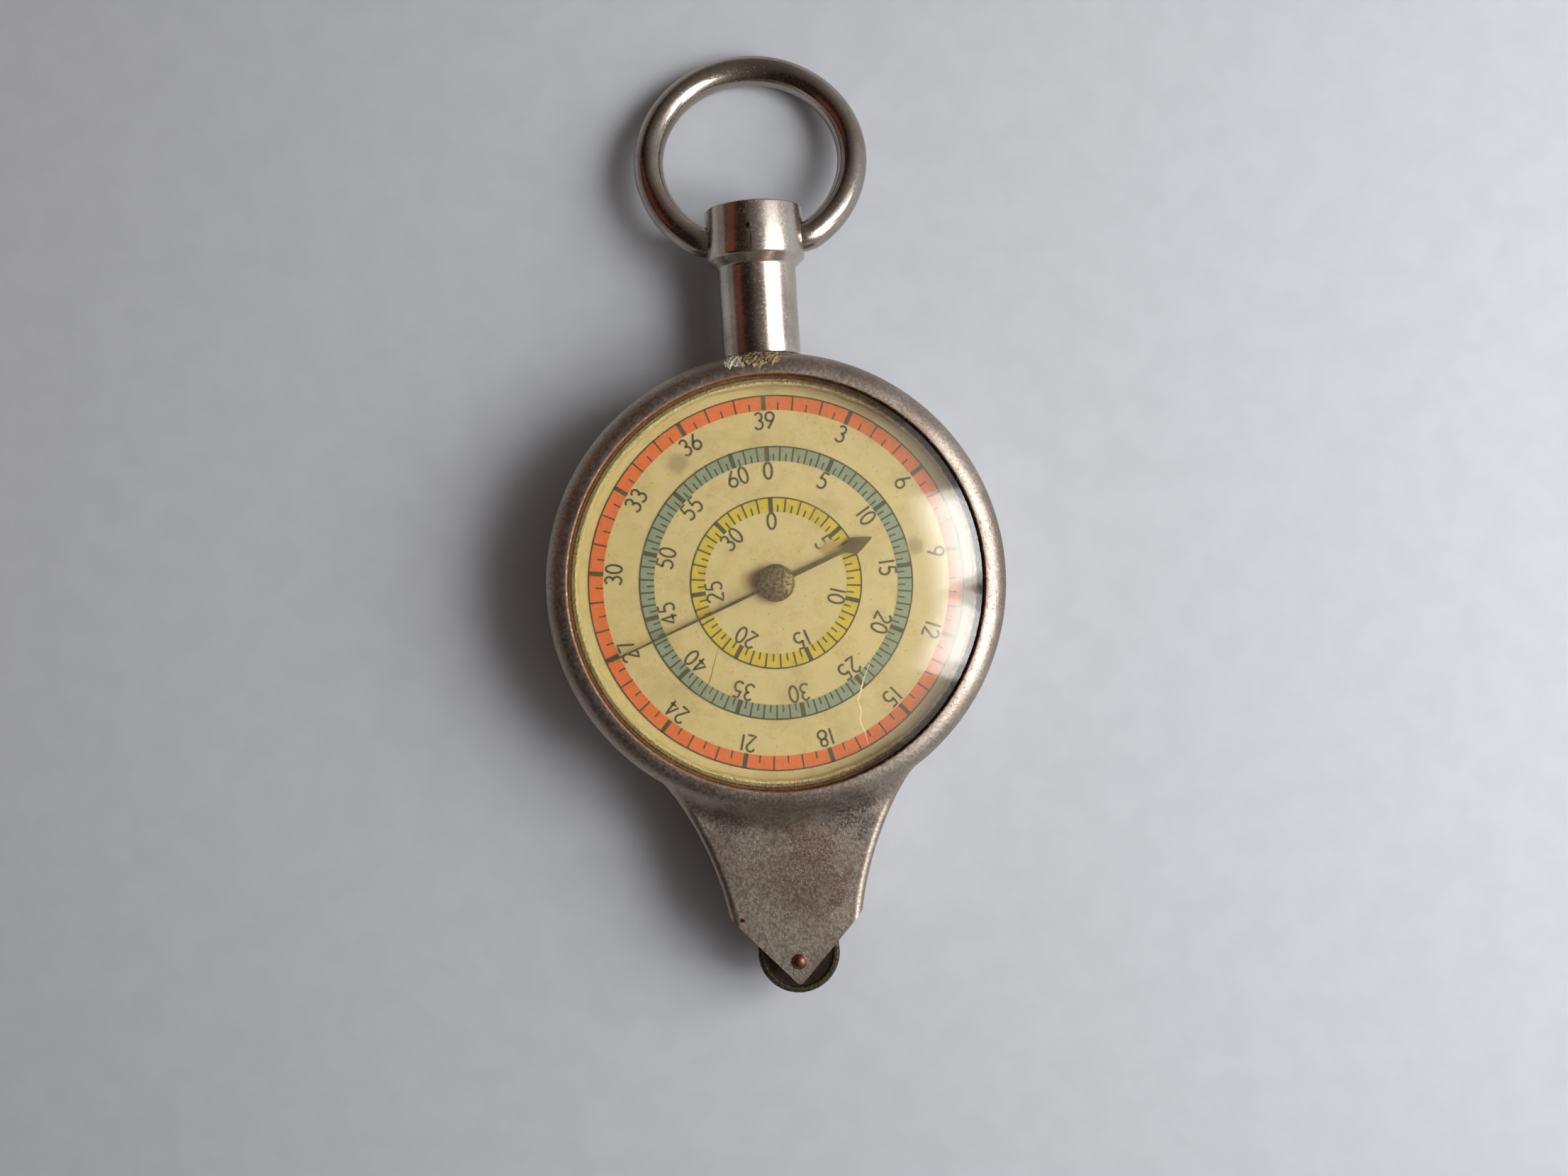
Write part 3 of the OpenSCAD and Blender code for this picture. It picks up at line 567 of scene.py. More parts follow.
# %% The crystal's finish
def yellowed_celluloid(name):
    """Clear plastic, slightly hazed, with fine scratches and brown dirt along its edge; the dirt
    grows toward the right as painted shade.
    """
    material, tree, place = new_finish(name)
    # Scratches are about 0.02 mm wide. They are drawn at 0.12 mm, so that they show.
    drawn_out = add(tree, "Mapping", {"Vector": place, "Scale": (1.0, 0.02, 1.0)})
    scratches = patches(tree, drawn_out, 0.12, 0.62, 0.72, 2.0)
    edge = overlap(tree, from_middle(tree, place, OPENING_R - 0.9, OPENING_R - 0.1),
                   patches(tree, place, 0.45, 0.32, 0.62, 5.0))
    # The edge dirt is real, but it thickens toward the right, where it is painted shade.
    right = weighed(tree, 0.05, (along(tree, place, "X", -4.0, 9.0), 0.85))
    colour = coat(tree, "#F4F0DF", "#A07C40", overlap(tree, edge, right))
    dress(material, {"Transmission Weight": 0.975, "IOR": 1.49, "Base Color": colour,
                     "Roughness": weighed(tree, 0.06, (scratches, 0.12))})
    shadow_ray = add(tree, "LightPath", {}, "Is Shadow Ray")
    clear = add(tree, "BsdfTransparent", {"Color": linear("#F6F3E4")})
    plastic = tree.nodes["Principled BSDF"].outputs[0]
    surface = add(tree, "MixShader", {0: shadow_ray, 1: plastic, 2: clear})
    fill(tree, tree.nodes["Material Output"], {"Surface": surface})
    return material


# The crystal is seen only by its glare and a faint yellow cast. The split is pale, because
# the air in it scatters light, and the scratch is brown with dirt.
celluloid = yellowed_celluloid("yellowed_celluloid")
pale_crack = printed("split_celluloid", "#E2D9BC", "#CFC49E", "#EFE8D2")
brown_crack = printed("soiled_scratch", "#7A5F38", "#5E4828", "#8A6C42")

# %% [markdown]
# ## The case: one sheet, pressed
# The front shell is a single sheet: a rounded bezel, a soft valley where the bezel runs down
# into the nose, flanks with eased edges, and two flat cheeks that hold the wheel. It could be
# cut out of solid blocks, but a press draws the metal, so its corners are all soft. Here the
# sheet is a grid of spokes that run from the bezel's opening to the outline, and a formula
# gives the height at each place. Blender's Solidify then gives the sheet its thickness.

# %% Sizes read from the CAD pieces
case_low, case_high = box_mm("case_front")
CREST_Z = case_high[2]
TIP_Y = case_low[1]
SEAM_Z = CREST_Z / 2
AXLE_Y = (box_mm("tracing_wheel")[0][1] + box_mm("tracing_wheel")[1][1]) / 2
print(f"case radius {CASE_R:.2f}, crest {CREST_Z:.2f}, axle at y {AXLE_Y:.2f}")

# %% Sizes measured in the photo, and how finely each stretch is drawn
WALL = 0.5
NOSE_Z = 8.5
NOSE_HALF_W = 5.0
MOUTH_Y = AXLE_Y + 3.5
FLANK_R = 26.0
FLANK_TURN = math.radians(10)
FLANK_X = NOSE_HALF_W + FLANK_R * math.cos(FLANK_TURN)
FLANK_Y = MOUTH_Y - FLANK_R * math.sin(FLANK_TURN)
TIP_R = 0.35
EDGE_R = 0.6
TIP_STEPS, SLOPE_STEPS, FLANK_STEPS, RIM_STEPS = 6, 36, 58, 196


# %% The outline of the case, half of it
def outline_half():
    """Right half of the outline from tip to top, and how far its nose and its open cheek go."""
    drop = MOUTH_Y - TIP_Y - TIP_R
    lean = math.atan(NOSE_HALF_W / drop) + math.asin(TIP_R / math.hypot(NOSE_HALF_W, drop))
    tip = [(TIP_R * math.sin(a), TIP_Y + TIP_R - TIP_R * math.cos(a))
           for a in np.linspace(0, math.pi / 2 - lean, TIP_STEPS)]
    slope = [np.array(tip[-1]) * (1 - t) + np.array([NOSE_HALF_W, MOUTH_Y]) * t
             for t in np.linspace(0, 1, SLOPE_STEPS)[1:]]
    far = math.hypot(FLANK_X, FLANK_Y)
    on = (CASE_R ** 2 - FLANK_R ** 2 + far ** 2) / (2 * far)
    off = math.sqrt(CASE_R ** 2 - on ** 2)
    join = np.array([on * FLANK_X + off * FLANK_Y, on * FLANK_Y - off * FLANK_X]) / far
    start = math.atan2(MOUTH_Y - FLANK_Y, NOSE_HALF_W - FLANK_X)
    stop = math.atan2(join[1] - FLANK_Y, join[0] - FLANK_X)
    flank = [(FLANK_X + FLANK_R * math.cos(a), FLANK_Y + FLANK_R * math.sin(a))
             for a in np.linspace(start, stop, FLANK_STEPS)[1:]]
    turn = math.atan2(join[0], -join[1])
    rim = [(CASE_R * math.sin(a), -CASE_R * math.cos(a))
           for a in np.linspace(turn, math.pi, RIM_STEPS)[1:]]
    points = np.array([*tip, *slope, *flank, *rim], float)
    nose = len(tip) + len(slope) + len(flank)
    cheek = len(tip) + len(slope) - 1
    # Four rounds of averaging soften the corner where the flank meets the round case.
    for _ in range(4):
        before, here, after = (points[nose + k - 7:nose + k + 4] for k in range(3))
        points[nose - 6:nose + 5] = (before + here + after) / 3
    return points, nose, cheek, turn


half, NOSE_COUNT, CHEEK_COUNT, JOIN_TURN = outline_half()
print(f"half outline: {len(half)} points, {NOSE_COUNT} of them on the nose")


# %% How high the sheet stands at each place
BEAD_W, BEAD_H = 1.7, 1.5
VALLEY_FROM, VALLEY_TO = 16.9, 18.8
SLOPE_STEP = 0.01


def bead_height(r):
    """The bezel's rounded bead: highest near the opening, falling away to the side wall."""
    over = np.clip(r - (CASE_R - BEAD_W), 0, BEAD_W)
    return CREST_Z - BEAD_H + BEAD_H * np.sqrt(1 - (over / BEAD_W) ** 2)


def sheet_height(x, y, on_nose):
    """Height of the pressed face over the back, in mm, at places in plan."""
    r = np.hypot(x, y)
    bead = bead_height(r)
    if not on_nose:
        return bead
    start = bead_height(VALLEY_FROM)
    slope = (bead_height(VALLEY_FROM + SLOPE_STEP) - start) / SLOPE_STEP
    slope *= VALLEY_TO - VALLEY_FROM
    t = np.clip((r - VALLEY_FROM) / (VALLEY_TO - VALLEY_FROM), 0, 1)
    valley = (2 * t ** 3 - 3 * t ** 2 + 1) * start + (t ** 3 - 2 * t ** 2 + t) * slope
    valley += (3 * t ** 2 - 2 * t ** 3) * NOSE_Z
    face = np.where(r < VALLEY_FROM, bead, valley)
    inside = np.hypot(np.abs(x) - FLANK_X, y - FLANK_Y) - FLANK_R
    near = EDGE_R - np.clip(inside, 0, EDGE_R)
    return face - (EDGE_R - np.sqrt(EDGE_R ** 2 - near ** 2))


# %% The grid of spokes
CLOSE = 1.8
WALL_STEPS = 5


def spoke(outer, facing, on_nose, lip):
    """Points of one spoke, close together near the opening and near the outline."""
    inner = OPENING_R * np.array([math.sin(facing), -math.cos(facing)])
    run = outer - inner
    length = np.linalg.norm(run)
    run = run / length
    first, last = min(CLOSE, 0.4 * length), max(length - CLOSE, 0.6 * length)
    closer = np.sin(np.linspace(0, math.pi / 2, 17))
    reach = np.concatenate([np.linspace(lip, first, 16)[:-1], np.linspace(first, last, 13)[:-1],
                            length - (length - last) * (1 - closer)])
    plan = inner + reach[:, None] * run
    rows = np.column_stack([plan, sheet_height(plan[:, 0], plan[:, 1], on_nose)])
    if lip:
        turn = np.linspace(0, math.pi / 2, 4)[:-1]
        edge = inner + np.outer(lip * (1 - np.cos(turn)), run)
        rows = np.vstack([np.column_stack([edge, CREST_Z - lip + lip * np.sin(turn)]), rows])
    return rows


def shell_grid(lip, seam_gap, disc_rings):
    """Points and faces of a pressed shell, before it has a thickness."""
    steps = np.linalg.norm(np.diff(half[:NOSE_COUNT], axis=0), axis=1)
    reach = np.concatenate([[0], np.cumsum(steps)])
    rows = []
    for i, outer in enumerate(half):
        facing = math.atan2(outer[0], -outer[1])
        if i < NOSE_COUNT:
            facing = JOIN_TURN * reach[i] / reach[-1]
        top = spoke(outer, facing, i < NOSE_COUNT - 1, lip)
        wall = [(outer[0], outer[1], z)
                for z in np.linspace(top[-1][2], SEAM_Z + seam_gap, WALL_STEPS + 1)[1:]]
        inner = [(*(top[0][:2] * k / disc_rings), CREST_Z) for k in range(1, disc_rings)]
        rows.append(np.vstack([inner, top, wall]) if inner else np.vstack([top, wall]))
    mirror = [row * [-1, 1, 1] for row in rows[-2:0:-1]]
    cheek = [i < CHEEK_COUNT for i in range(len(rows))]
    cheek += cheek[-2:0:-1]
    rows += mirror
    across = len(rows[0])
    faces = []
    for i in range(len(rows)):
        j = (i + 1) % len(rows)
        top_only = cheek[i] or cheek[j]
        for k in range(across - 1 - (WALL_STEPS if top_only else 0)):
            faces.append([i * across + k, j * across + k, j * across + k + 1, i * across + k + 1])
    points = np.vstack(rows)
    if disc_rings:
        faces += [[len(points), (i + 1) % len(rows) * across, i * across] for i in range(len(rows))]
        points = np.vstack([points, [[0, 0, CREST_Z]]])
    return points, faces


# %% Pressing both shells
def face_outward(made):
    """Turns a sheet's faces outward, judged where it stands furthest from the seam's height."""
    shape = bmesh.new()
    shape.from_mesh(made.data)
    bmesh.ops.delete(shape, geom=[v for v in shape.verts if not v.link_faces], context="VERTS")
    off = [(f.calc_center_median().z - SEAM_Z * MM) * f.normal.z for f in shape.faces]
    if sum(off) < 0:
        bmesh.ops.reverse_faces(shape, faces=shape.faces)
    shape.to_mesh(made.data)
    shape.free()


def thicken(made, thickness, crease=CREASE):
    """Gives a sheet its thickness on the inner side, and bakes it."""
    face_outward(made)
    thick = made.modifiers.new("thickness", "SOLIDIFY")
    thick.thickness = thickness * MM
    thick.offset = -1
    settle(made, crease)


front = shell_grid(lip=0.12, seam_gap=0.02, disc_rings=0)
thicken(piece("front_shell", front, case_nickel, "root", ["case_front"]), WALL)
points, faces = shell_grid(lip=0.0, seam_gap=0.02, disc_rings=10)
back = points * [1, 1, -1] + [0, 0, CREST_Z], faces
thicken(piece("back_shell", back, case_nickel, "root", ["case_back"]), WALL)

# %% [markdown]
# ## Crystal, cement and tension ring
# All are round the dial's axis. The crystal was pressed from warm sheet: a dome that keeps its
# height almost to its edge, where it mirrors the window, and a flange that hides under the
# bezel. Here it is turned from one profile. The cement shows as the brown ring inside the
# bezel, and the sprung brass ring, which keeps its CAD shape, as the thin golden line beyond.

# %% Crystal
low, high = box_mm("crystal")
CRYSTAL_R = OPENING_R - 0.04
FLANGE_R, FLANGE_Z, FLANGE_T = high[0], low[2], 0.5
TOP_Z = high[2]
RISE = 1.45
CRYSTAL_T = 0.8
SWELL = 3.0


def dome_height(r):
    """Top of the crystal at radius r, which curves down faster near its edge."""
    return TOP_Z - RISE * (r / CRYSTAL_R) ** SWELL


outside = [(r, dome_height(r)) for r in np.linspace(0, CRYSTAL_R, 48)]
edge = [(CRYSTAL_R, FLANGE_Z + FLANGE_T), (FLANGE_R, FLANGE_Z + FLANGE_T),
        (FLANGE_R, FLANGE_Z)]
inner_reach = CRYSTAL_R * ((TOP_Z - CRYSTAL_T - FLANGE_Z) / RISE) ** (1 / SWELL)
inner_reach = min(inner_reach, CRYSTAL_R - 0.5)
under = [(r, dome_height(r) - CRYSTAL_T) for r in np.linspace(inner_reach, 0, 40)]
dome = turned(outside + edge + [(inner_reach, FLANGE_Z)] + under, 192)
piece("domed_crystal", dome, celluloid, "root", ["crystal"])
print(f"dome from {TOP_Z:.2f} to {TOP_Z - RISE:.2f} mm, hollow out to {inner_reach:.2f} mm")

# %% Cement
low, high = box_mm("crystal_cement")
CEMENT_R, CEMENT_W = high[0], 0.6
FACE_Z, CEMENT_TOP = low[2], high[2]
ROUND_STEPS = 240
rng = np.random.default_rng(5)


def uneven_ring(inner, outer, low, high, wobble):
    """A ring whose inner edge wanders by `wobble` mm, as hand-laid filler does."""
    waves = (5, 11, 23, 41)
    swing = sum(np.sin(np.linspace(0, 2 * math.pi * n, ROUND_STEPS, endpoint=False)
                       + rng.uniform(0, 6.3)) * wobble / len(waves) for n in waves)
    profile = eased([(inner, low), (outer, low), (outer, high), (inner, high)], 0.08, closed=True)
    points, faces = turned(profile, ROUND_STEPS, closed=True)
    points = np.array(points)
    r = np.hypot(points[:, 0], points[:, 1])
    k = np.arange(len(points)) % ROUND_STEPS
    shift = np.where(r < (inner + outer) / 2, swing[k], 0)
    points[:, :2] *= ((r + shift) / r)[:, None]
    return points, faces


filler = uneven_ring(CEMENT_R - CEMENT_W, CEMENT_R, FACE_Z, CEMENT_TOP, 0.1)
piece("cement_ring", filler, old_cement, "root", ["crystal_cement"])

# %% [markdown]
# ## A split and a scratch
# Old celluloid dries out, shrinks and splits, and dirt settles in its scratches. A real crack
# is a thin gap that scatters light. In the photo one reads as a pale thread and one as a brown
# one, so each is a fine ribbon just under the crystal, and its width wanders at random.

# %% Two old cracks on the crystal's underside
CRACK_STEPS = 60
SPLIT = [(6.6, -6.2), (6.3, -6.9), (6.0, -7.6), (5.8, -8.3), (5.5, -9.0), (5.7, -9.8),
         (5.6, -10.6), (5.9, -11.4), (6.1, -12.4)]
SCRATCH = [(-4.5, -4.5), (-4.9, -5.6), (-5.2, -6.6), (-5.6, -7.5), (-5.9, -8.4)]
for name, finish, width, way in (("crystal_split", pale_crack, 0.13, np.array(SPLIT)),
                                 ("crystal_scratch", brown_crack, 0.07, np.array(SCRATCH))):
    steps = np.linspace(0, len(way) - 1, CRACK_STEPS)
    line = np.stack([np.interp(steps, np.arange(len(way)), way[:, k]) for k in (0, 1)], 1)
    line += rng.normal(0, 0.012, line.shape)
    under = dome_height(np.hypot(line[:, 0], line[:, 1])) - CRYSTAL_T
    taper = np.sin(np.linspace(0.25, math.pi - 0.15, CRACK_STEPS))
    half_width = width / 2 * taper * rng.uniform(0.6, 1.3, CRACK_STEPS)
    piece(name, ribbon(line, half_width, under - 0.03, under - 0.01), finish, "root")

# %% [markdown]
# ## The printing on the dial
# Three bands of colour, with a mark for each unit and longer ones for each number. The ink
# is thin, but it is given a hundredth of a millimetre or two, so that it is a layer of its
# own. The figures are drawn as strokes with a pen of even width, like the plain figures on
# such dials, and every mark is placed by its value, so the scales read true.

# %% Scales: where each starts, how wide, and how many units make a turn
BAND_W = 1.12
BAND_STEP = BAND_W + 2.72
RED_R = OPENING_R - 1.33
INK_T = 0.02
ZERO = 90.5
SCALES = [
    {"name": "red_band", "outer": RED_R, "turn": 39.0, "every": 3, "last": 39, "ink": red_ink},
    {"name": "blue_band", "outer": RED_R - BAND_STEP, "turn": 62.76, "every": 5, "last": 60,
     "ink": blue_ink},
    {"name": "yellow_band", "outer": RED_R - 2 * BAND_STEP, "turn": 33.89, "every": 5,
     "last": 30, "ink": yellow_ink},
]
FIGURES_R = [12.27, 8.5, 4.7]


def circle(radius):
    """Points of a circle round the dial's axis."""
    a = np.linspace(0, 2 * math.pi, ROUND_STEPS, endpoint=False)
    return np.stack([radius * np.cos(a), radius * np.sin(a)], 1)


for scale in SCALES:
    middle = circle(scale["outer"] - BAND_W / 2)
    band = ribbon(middle, BAND_W / 2, FACE_Z, FACE_Z + INK_T, closed=True)
    piece(scale["name"], band, scale["ink"], "root",
          ["dial_scales"] if scale["name"] == "red_band" else ())


# %% Figures drawn with strokes, in a box 0 to 1 high
def arc(cx, cy, rx, ry, start, stop, count=14):
    """Points of an arc, from its middle, its two half widths and its angles in degrees."""
    a = np.radians(np.linspace(start, stop, count))
    return [(cx + rx * math.cos(t), cy + ry * math.sin(t)) for t in a]


STROKES = {
    "0": [arc(0.27, 0.5, 0.25, 0.5, 90, 450, 24)],
    "1": [[(0.1, 0.0), (0.1, 0.5), (0.1, 1.0)]],
    "2": [arc(0.27, 0.75, 0.24, 0.25, 165, -35) + [(0.02, 0.0), (0.3, 0.0), (0.55, 0.0)]],
    "3": [arc(0.25, 0.76, 0.22, 0.24, 155, -90), arc(0.25, 0.27, 0.26, 0.27, 90, -150)],
    "4": [[(0.42, 0.0), (0.42, 0.5), (0.42, 1.0), (0.0, 0.26), (0.3, 0.26), (0.58, 0.26)]],
    "5": [[(0.5, 1.0), (0.15, 1.0), (0.08, 0.58)] + arc(0.24, 0.32, 0.27, 0.31, 120, -140)],
    "6": [[(0.4, 1.0), (0.06, 0.42)], arc(0.28, 0.27, 0.26, 0.27, 150, 510, 22)],
    "7": [[(0.0, 1.0), (0.3, 1.0), (0.52, 1.0), (0.14, 0.0)]],
    "8": [arc(0.27, 0.76, 0.2, 0.23, 90, 450, 20), arc(0.27, 0.27, 0.26, 0.27, 90, 450, 20)],
    "9": [[(0.14, 0.0), (0.48, 0.58)], arc(0.26, 0.73, 0.26, 0.27, -30, 330, 22)],
}
FIGURE_W = {"1": 0.2, "4": 0.58, "6": 0.56, "9": 0.56}
USUAL_W, BETWEEN = 0.54, 0.16

# %% Laying the marks and figures
FIGURE_H = 1.22
PEN = 0.165
NUMBERED_W, UNIT_W, HALF_W, OUTLINE_W = 0.34, 0.13, 0.12, 0.12
BLACK_TOP = FACE_Z + INK_T + 0.012
marks, mark_faces = [], []


def lay(line, width, closed=False):
    """Adds one inked line to the black printing."""
    points, faces = ribbon(line, width / 2, FACE_Z, BLACK_TOP, closed, first=len(marks))
    marks.extend(points)
    mark_faces.extend(faces)


def bearing(value, turn):
    """The direction in which a scale of `turn` units a turn shows a value."""
    a = math.radians(ZERO - 360 * value / turn)
    return np.array([math.cos(a), math.sin(a)])


def lay_number(text, value, turn, radius):
    """Writes a number round the dial, with its top outward."""
    out = bearing(value, turn)
    right = np.array([out[1], -out[0]])
    widths = [FIGURE_W.get(c, USUAL_W) for c in text]
    x = -(sum(widths) + BETWEEN * (len(text) - 1)) / 2
    for c, width in zip(text, widths):
        for line in STROKES[c]:
            lay([out * (radius + (v - 0.5) * FIGURE_H) + right * (x + u) * FIGURE_H
                 for u, v in line], PEN)
        x += width + BETWEEN


for scale, figures_r in zip(SCALES, FIGURES_R):
    outer, turn = scale["outer"], scale["turn"]
    lay(circle(outer - 0.03), OUTLINE_W, closed=True)
    for half_unit in range(int(2 * turn)):
        value = half_unit / 2
        out = bearing(value, turn)
        whole = half_unit % 2 == 0
        numbered = whole and int(value) % scale["every"] == 0 and value <= scale["last"]
        stop = outer if whole else outer - BAND_W / 2
        width = NUMBERED_W if numbered else UNIT_W if whole else HALF_W
        lay([out * (outer - BAND_W), out * stop], width)
    first = scale["every"] if turn == scale["last"] else 0
    for value in range(first, scale["last"] + 1, scale["every"]):
        lay_number(str(value), value, turn, figures_r)

piece("dial_print", (marks, mark_faces), black_ink, "root")

# %% [markdown]
# ## Hand and hub
# One thin blade carries both pointers: a long tail that narrows to its end, and a leaf arrow
# opposite. It is stamped from blackened steel and has square edges, so a flat ribbon whose
# width changes along it is the whole piece. The hub is a domed cap pressed over the arbor,
# with a collar below the blade, and both are turned.

# %% The hand's blade
low, high = box_mm("hand")
HAND_Z, HAND_TOP = low[2], high[2]
TAIL_TURN = math.radians(202)
TAIL_LEN, ARROW_LEN = 13.8, 8.0
NECK_W, TAIL_W, TAIL_END_W, EYE_R = 0.42, 0.26, 0.14, 1.15
LEAF_FROM, LEAF_WIDEST, LEAF_HALF_W = 5.6, 6.55, 0.65
NECK_END_HALF_W = 0.17


def blade_half_width(x):
    """Half width of the blade at x mm along it: the arrow is at negative x, the tail positive."""
    if x >= 0:
        width = TAIL_W / 2 + (TAIL_END_W - TAIL_W) / 2 * x / TAIL_LEN
    elif x > -LEAF_FROM:
        width = NECK_W / 2 + (NECK_W / 2 - NECK_END_HALF_W) * x / LEAF_FROM
    elif x > -LEAF_WIDEST:
        t = (-LEAF_FROM - x) / (LEAF_WIDEST - LEAF_FROM)
        width = NECK_END_HALF_W + (LEAF_HALF_W - NECK_END_HALF_W) * (3 * t * t - 2 * t ** 3)
    else:
        t = (x + ARROW_LEN) / (ARROW_LEN - LEAF_WIDEST)
        width = LEAF_HALF_W * t ** 0.8
    if abs(x) < EYE_R:
        width = max(width, math.sqrt(EYE_R ** 2 - x * x))
    return max(width, 0.02)


# Leaf, neck, eye and tail, with more stations where the width changes fast.
stations = np.concatenate([np.linspace(-ARROW_LEN, -5.5, 40), np.linspace(-5.4, -1.2, 12),
                           np.linspace(-EYE_R, EYE_R, 41), np.linspace(1.2, TAIL_LEN, 24)])
line = stations[:, None] * np.array([math.cos(TAIL_TURN), math.sin(TAIL_TURN)])
blade = ribbon(line, [blade_half_width(x) for x in stations], HAND_Z, HAND_TOP)
piece("hand_blade", blade, black_steel, "centre", ["hand"])

# %% The hub
low, high = box_mm("hand_hub")
HUB_R, HUB_LOW, HUB_TOP = high[0], low[2], high[2]
HUB_HOLE_R, HUB_GAP, HUB_STEPS = 0.62, 0.02, 96
CAP_LOW = HAND_TOP + HUB_GAP
DOME_LOW = CAP_LOW + 0.1
cap = [(0, CAP_LOW), (HUB_R, CAP_LOW), (HUB_R, DOME_LOW)]
cap += [(HUB_R * math.cos(a), DOME_LOW + (HUB_TOP - DOME_LOW) * math.sin(a))
        for a in np.linspace(0.1, 1.5, 16)]
points, faces = turned(cap + [(0, HUB_TOP)], HUB_STEPS)
collar = [(HUB_HOLE_R, HUB_LOW), (HUB_R, HUB_LOW), (HUB_R, HAND_Z - HUB_GAP),
          (HUB_HOLE_R, HAND_Z - HUB_GAP)]
more_points, more_faces = turned(collar, HUB_STEPS, closed=True, first=len(points))
hub = points + more_points, faces + more_faces
piece("hub_cap", hub, hub_metal, "centre", ["hand_hub"])

# %% [markdown]
# ## The stem
# The stem is turned from bar: a plain shaft, a cone and a head whose edges a file has eased.
# It is made here by turning the same profile with softened corners, then boring the two
# sockets for the ring, as the maker did.

# %% Stem
low, high = box_mm("stem")
HEAD_R = high[0]
STEM_FROM, STEM_TO = low[1], high[1]
STEM_R = 3.0
STEM_Y = CASE_R + 0.15
CONE_Y, HEAD_Y = STEM_Y + 6.9, STEM_Y + 7.6
TENON_R = 1.2
profile = [(0, STEM_FROM), (TENON_R, STEM_FROM), (TENON_R, STEM_Y), (STEM_R, STEM_Y),
           (STEM_R, CONE_Y), (HEAD_R, HEAD_Y), (HEAD_R, STEM_TO), (0, STEM_TO)]
bar = turned(eased(profile, 0.16), 128, axis="Y", centre=(0, 0, SEAM_Z))
stem = piece("turned_stem", bar, stem_nickel, "root", ["stem"])

# %% Sockets bored in the head
SOCKET_R, SOCKET_DEPTH = 1.25, 1.4
RING_Y = HEAD_Y + 1.6


def bored(made, centre, radius, depth):
    """Bores a hole along X, from outside the head inward."""
    side = 1 if centre[0] > 0 else -1
    points, faces = turned([(0, 0), (radius, 0), (radius, depth), (0, depth)], 64)
    points = [(centre[0] + side * (p[2] - depth), centre[1] + p[0], centre[2] + p[1])
              for p in points]
    drill = bpy.data.objects.new("drill", mesh_of("drill", points, faces))
    scene.collection.objects.link(drill)
    cut = made.modifiers.new("bore", "BOOLEAN")
    cut.object = drill
    cut.operation = "DIFFERENCE"
    cut.solver = "EXACT"
    settle(made)
    bpy.data.objects.remove(drill)


for side in (-1, 1):
    bored(stem, (side * (HEAD_R + 1), RING_Y, SEAM_Z), SOCKET_R, SOCKET_DEPTH + 1)

# %% [markdown]
# ## Old solder
# The stem was soldered to the case by hand. Most of the solder is a fillet round the stem's
# end, and some ran on over the bezel and set there as a crust. Neither has a plain profile, so
# both are grids of points: the surface that the solder wetted, plus lumps.

# %% The fillet round the stem's end
FILLET_STEPS, FILLET_ACROSS = 96, 10
FILLET_IN_R = STEM_R - 0.08
BURIED = 0.02


def solder_fillet():
    """A lumpy fillet between the stem's end and the round case."""
    points = []
    for i in range(FILLET_STEPS):
        a = 2 * math.pi * i / FILLET_STEPS
        lump = 0.5 + 0.5 * math.sin(3 * a + 1.0) * math.sin(7 * a) + rng.uniform(-0.2, 0.2)
        reach = STEM_R - 0.05 + 0.35 * max(0.1, lump)
        for t in np.linspace(0, 1, FILLET_ACROSS + 1):
            r = FILLET_IN_R + (reach - FILLET_IN_R) * t
            x, z = r * math.cos(a), SEAM_Z + r * math.sin(a)
            over = np.clip(abs(z - SEAM_Z) - (CREST_Z - BEAD_H - SEAM_Z), 0, BEAD_H) / BEAD_H
            wall_r = CASE_R - BEAD_W + BEAD_W * math.sqrt(1 - over ** 2)
            y_case = math.sqrt(wall_r ** 2 - x * x) - BURIED
            points.append((x, y_case + (STEM_Y - y_case) * (1 - t) ** 1.6, z))
    return points, quads(FILLET_STEPS, FILLET_ACROSS + 1, wrap=True)


piece("solder_fillet", solder_fillet(), old_solder, "root", ["stem_solder"], crease=60)

# %% The crust that ran onto the bezel
CRUST_FROM, CRUST_TO, CRUST_NEAR, CRUST_END_Z = -3.1, 1.6, 16.0, 7.3
CRUST_T, CRUST_ACROSS, CRUST_DEEP = 0.2, 110, 56
SHOULDER = 0.7


